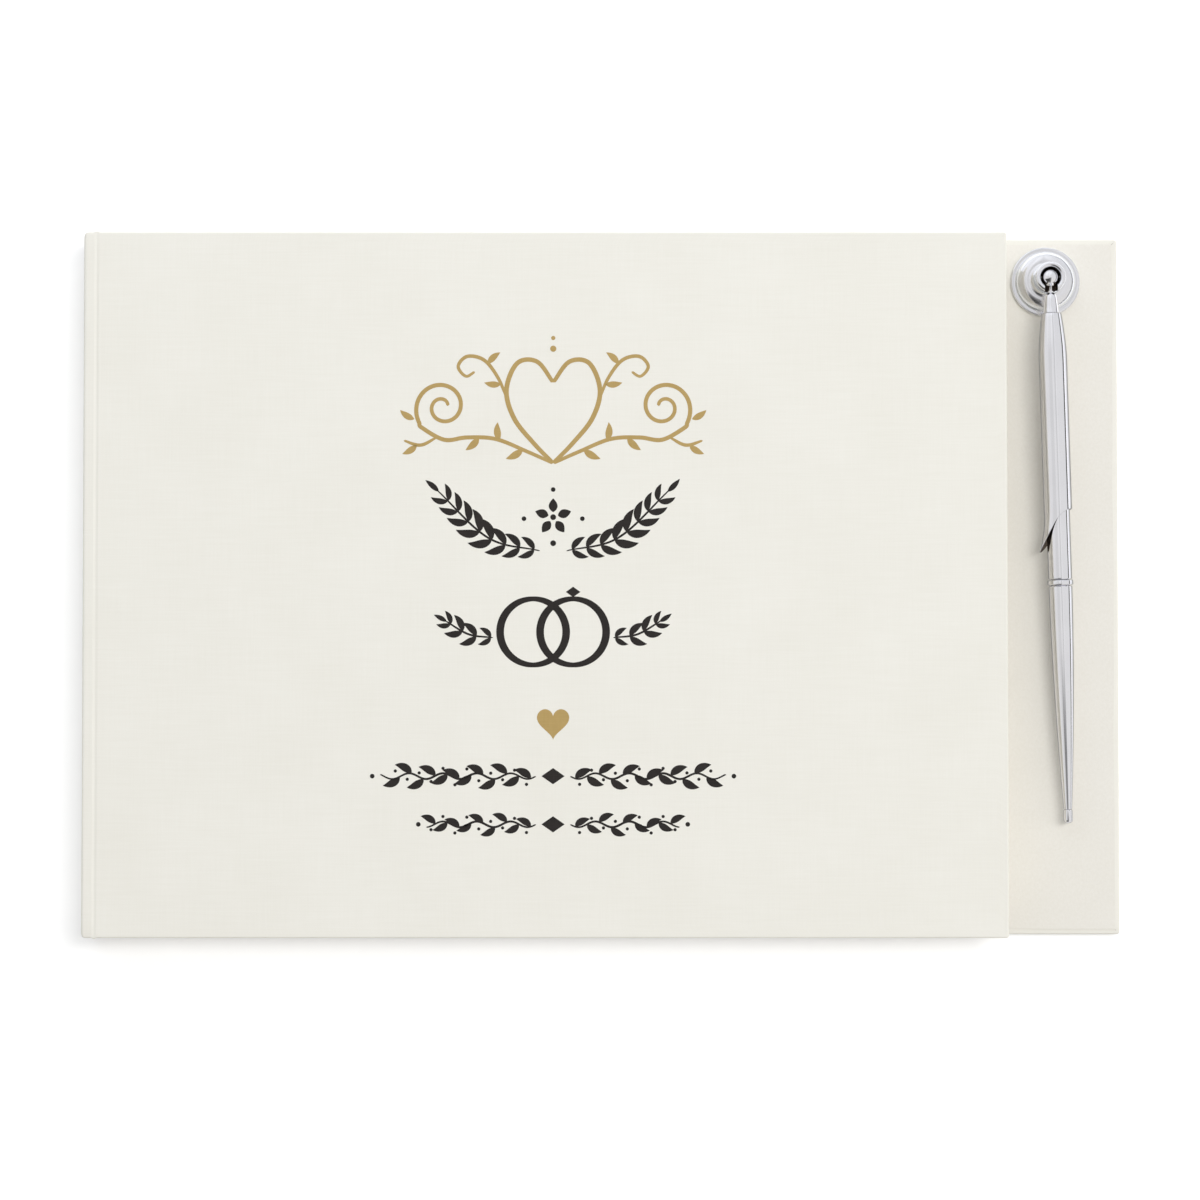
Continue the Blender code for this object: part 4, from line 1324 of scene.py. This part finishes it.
def aimed(name, data, place, target):
    obj = bpy.data.objects.new(name, data)
    obj.location = place
    obj.rotation_euler = (Vector(target) - Vector(place)).to_track_quat("-Z", "Y").to_euler()
    bpy.context.scene.collection.objects.link(obj)
    return obj


def camera():
    data = bpy.data.cameras.new("camera")
    data.lens = LENS
    data.sensor_width = SENSOR
    bpy.context.scene.camera = aimed("camera", data, CAMERA, CAMERA_TARGET)


def softbox(name, place, size, power, colour):
    data = bpy.data.lights.new(name, "AREA")
    data.shape = "RECTANGLE"
    data.size, data.size_y = size
    data.energy = power
    data.color = colour
    aimed(name, data, place, (0, 0, 0)).visible_glossy = False  # the metal shows the tent alone


def floor():
    """A plain pale table top."""
    look = new_look("pale_table")
    grain = look.noise(look.object_place(), (6, 6, 6))
    material = look.surface(
        Base_Color=look.mixed(grain, (0.9, 0.9, 0.9, 1), (0.92, 0.92, 0.92, 1)),
        Emission_Color=WHITE,
        Emission_Strength=TABLE_GLOW,
        Roughness=0.9,
        Specular_IOR_Level=0.2,
    )
    bm = bmesh.new()
    where = Matrix.Translation((0, 0, TABLE_Z))
    bmesh.ops.create_grid(bm, x_segments=8, y_segments=8, size=TABLE_HALF, matrix=where)
    new_object("table_top", bm, material)


def tent():
    """A white light tent with faint folds: it is dark overhead towards the tail of the book and low on the
    fore edge's side, dim in one corner and brighter in another."""
    bpy.context.scene.world = bpy.data.worlds.new("light_tent")
    look = Look(bpy.context.scene.world)
    direction = look.add("ShaderNodeTexCoord").outputs["Generated"]
    axes = look.add("ShaderNodeSeparateXYZ", {0: direction}).outputs
    lean = look.calc("ARCTAN2", axes[0], axes[2])
    towards_tail = look.calc("MULTIPLY", axes[1], -1)

    def strip(degrees, half_width, level):
        """A band of the tent that runs from head to tail, at an angle from overhead."""
        off = look.calc("ABSOLUTE", look.calc("SUBTRACT", lean, math.radians(degrees)))
        inner, outer = math.radians(half_width * 0.7), math.radians(half_width * 1.3)
        return look.spread(off, inner, outer, level, 1)

    def patch(towards, inner, outer, level):
        """A round part of the tent, given by the cosines that bound its soft edge."""
        towards = Vector(towards).normalized()
        facing = look.add("ShaderNodeVectorMath", {0: direction, 1: towards}, operation="DOT_PRODUCT")
        return look.spread(facing.outputs["Value"], outer, inner, 1, level)

    bands = (
        strip(-8, 18, look.spread(towards_tail, 0.12, 0.19, 1, 0.3)),
        strip(-30, 14, 0.9),
        strip(-12, 3, 1.06),
        strip(4, 3, 0.78),
        strip(13, 3, 1.08),
        strip(84, 7, 0.12),
        patch((-0.72, -0.52, 0.45), 0.9, 0.62, look.spread(towards_tail, 0.25, 0.4, 1, 0.08)),
        patch((-0.35, 0.75, 0.55), 0.93, 0.7, 1.3),
    )
    rays = look.add("ShaderNodeLightPath").outputs
    seen = rays["Is Camera Ray"]
    level = look.spread(rays["Is Diffuse Ray"], 0, 1, TENT_LEVEL, TENT_LEVEL * TENT_SHARE)
    for band in bands:
        level = look.calc("MULTIPLY", level, band)
    warm_to_cool = look.spread(axes[1], -0.6, 0.6)
    colour = look.mixed(warm_to_cool, (1.0, 0.98, 0.945, 1), (0.975, 0.985, 1.0, 1))
    strength = look.add("ShaderNodeMix", {0: seen, 2: level, 3: BACKDROP}, data_type="FLOAT").outputs[0]
    background = {"Color": look.mixed(seen, colour, WHITE), "Strength": strength}
    look.feed(look.tree.nodes["Background"], background)


def studio():
    bpy.context.scene.view_settings.view_transform = "Standard"
    camera()
    floor()
    tent()
    for name, (place, size, power, colour) in SOFTBOXES.items():
        softbox(name, place, size, power, colour)


case()
text_block()
cover_print()
pen_holder()
carried_over()
studio()
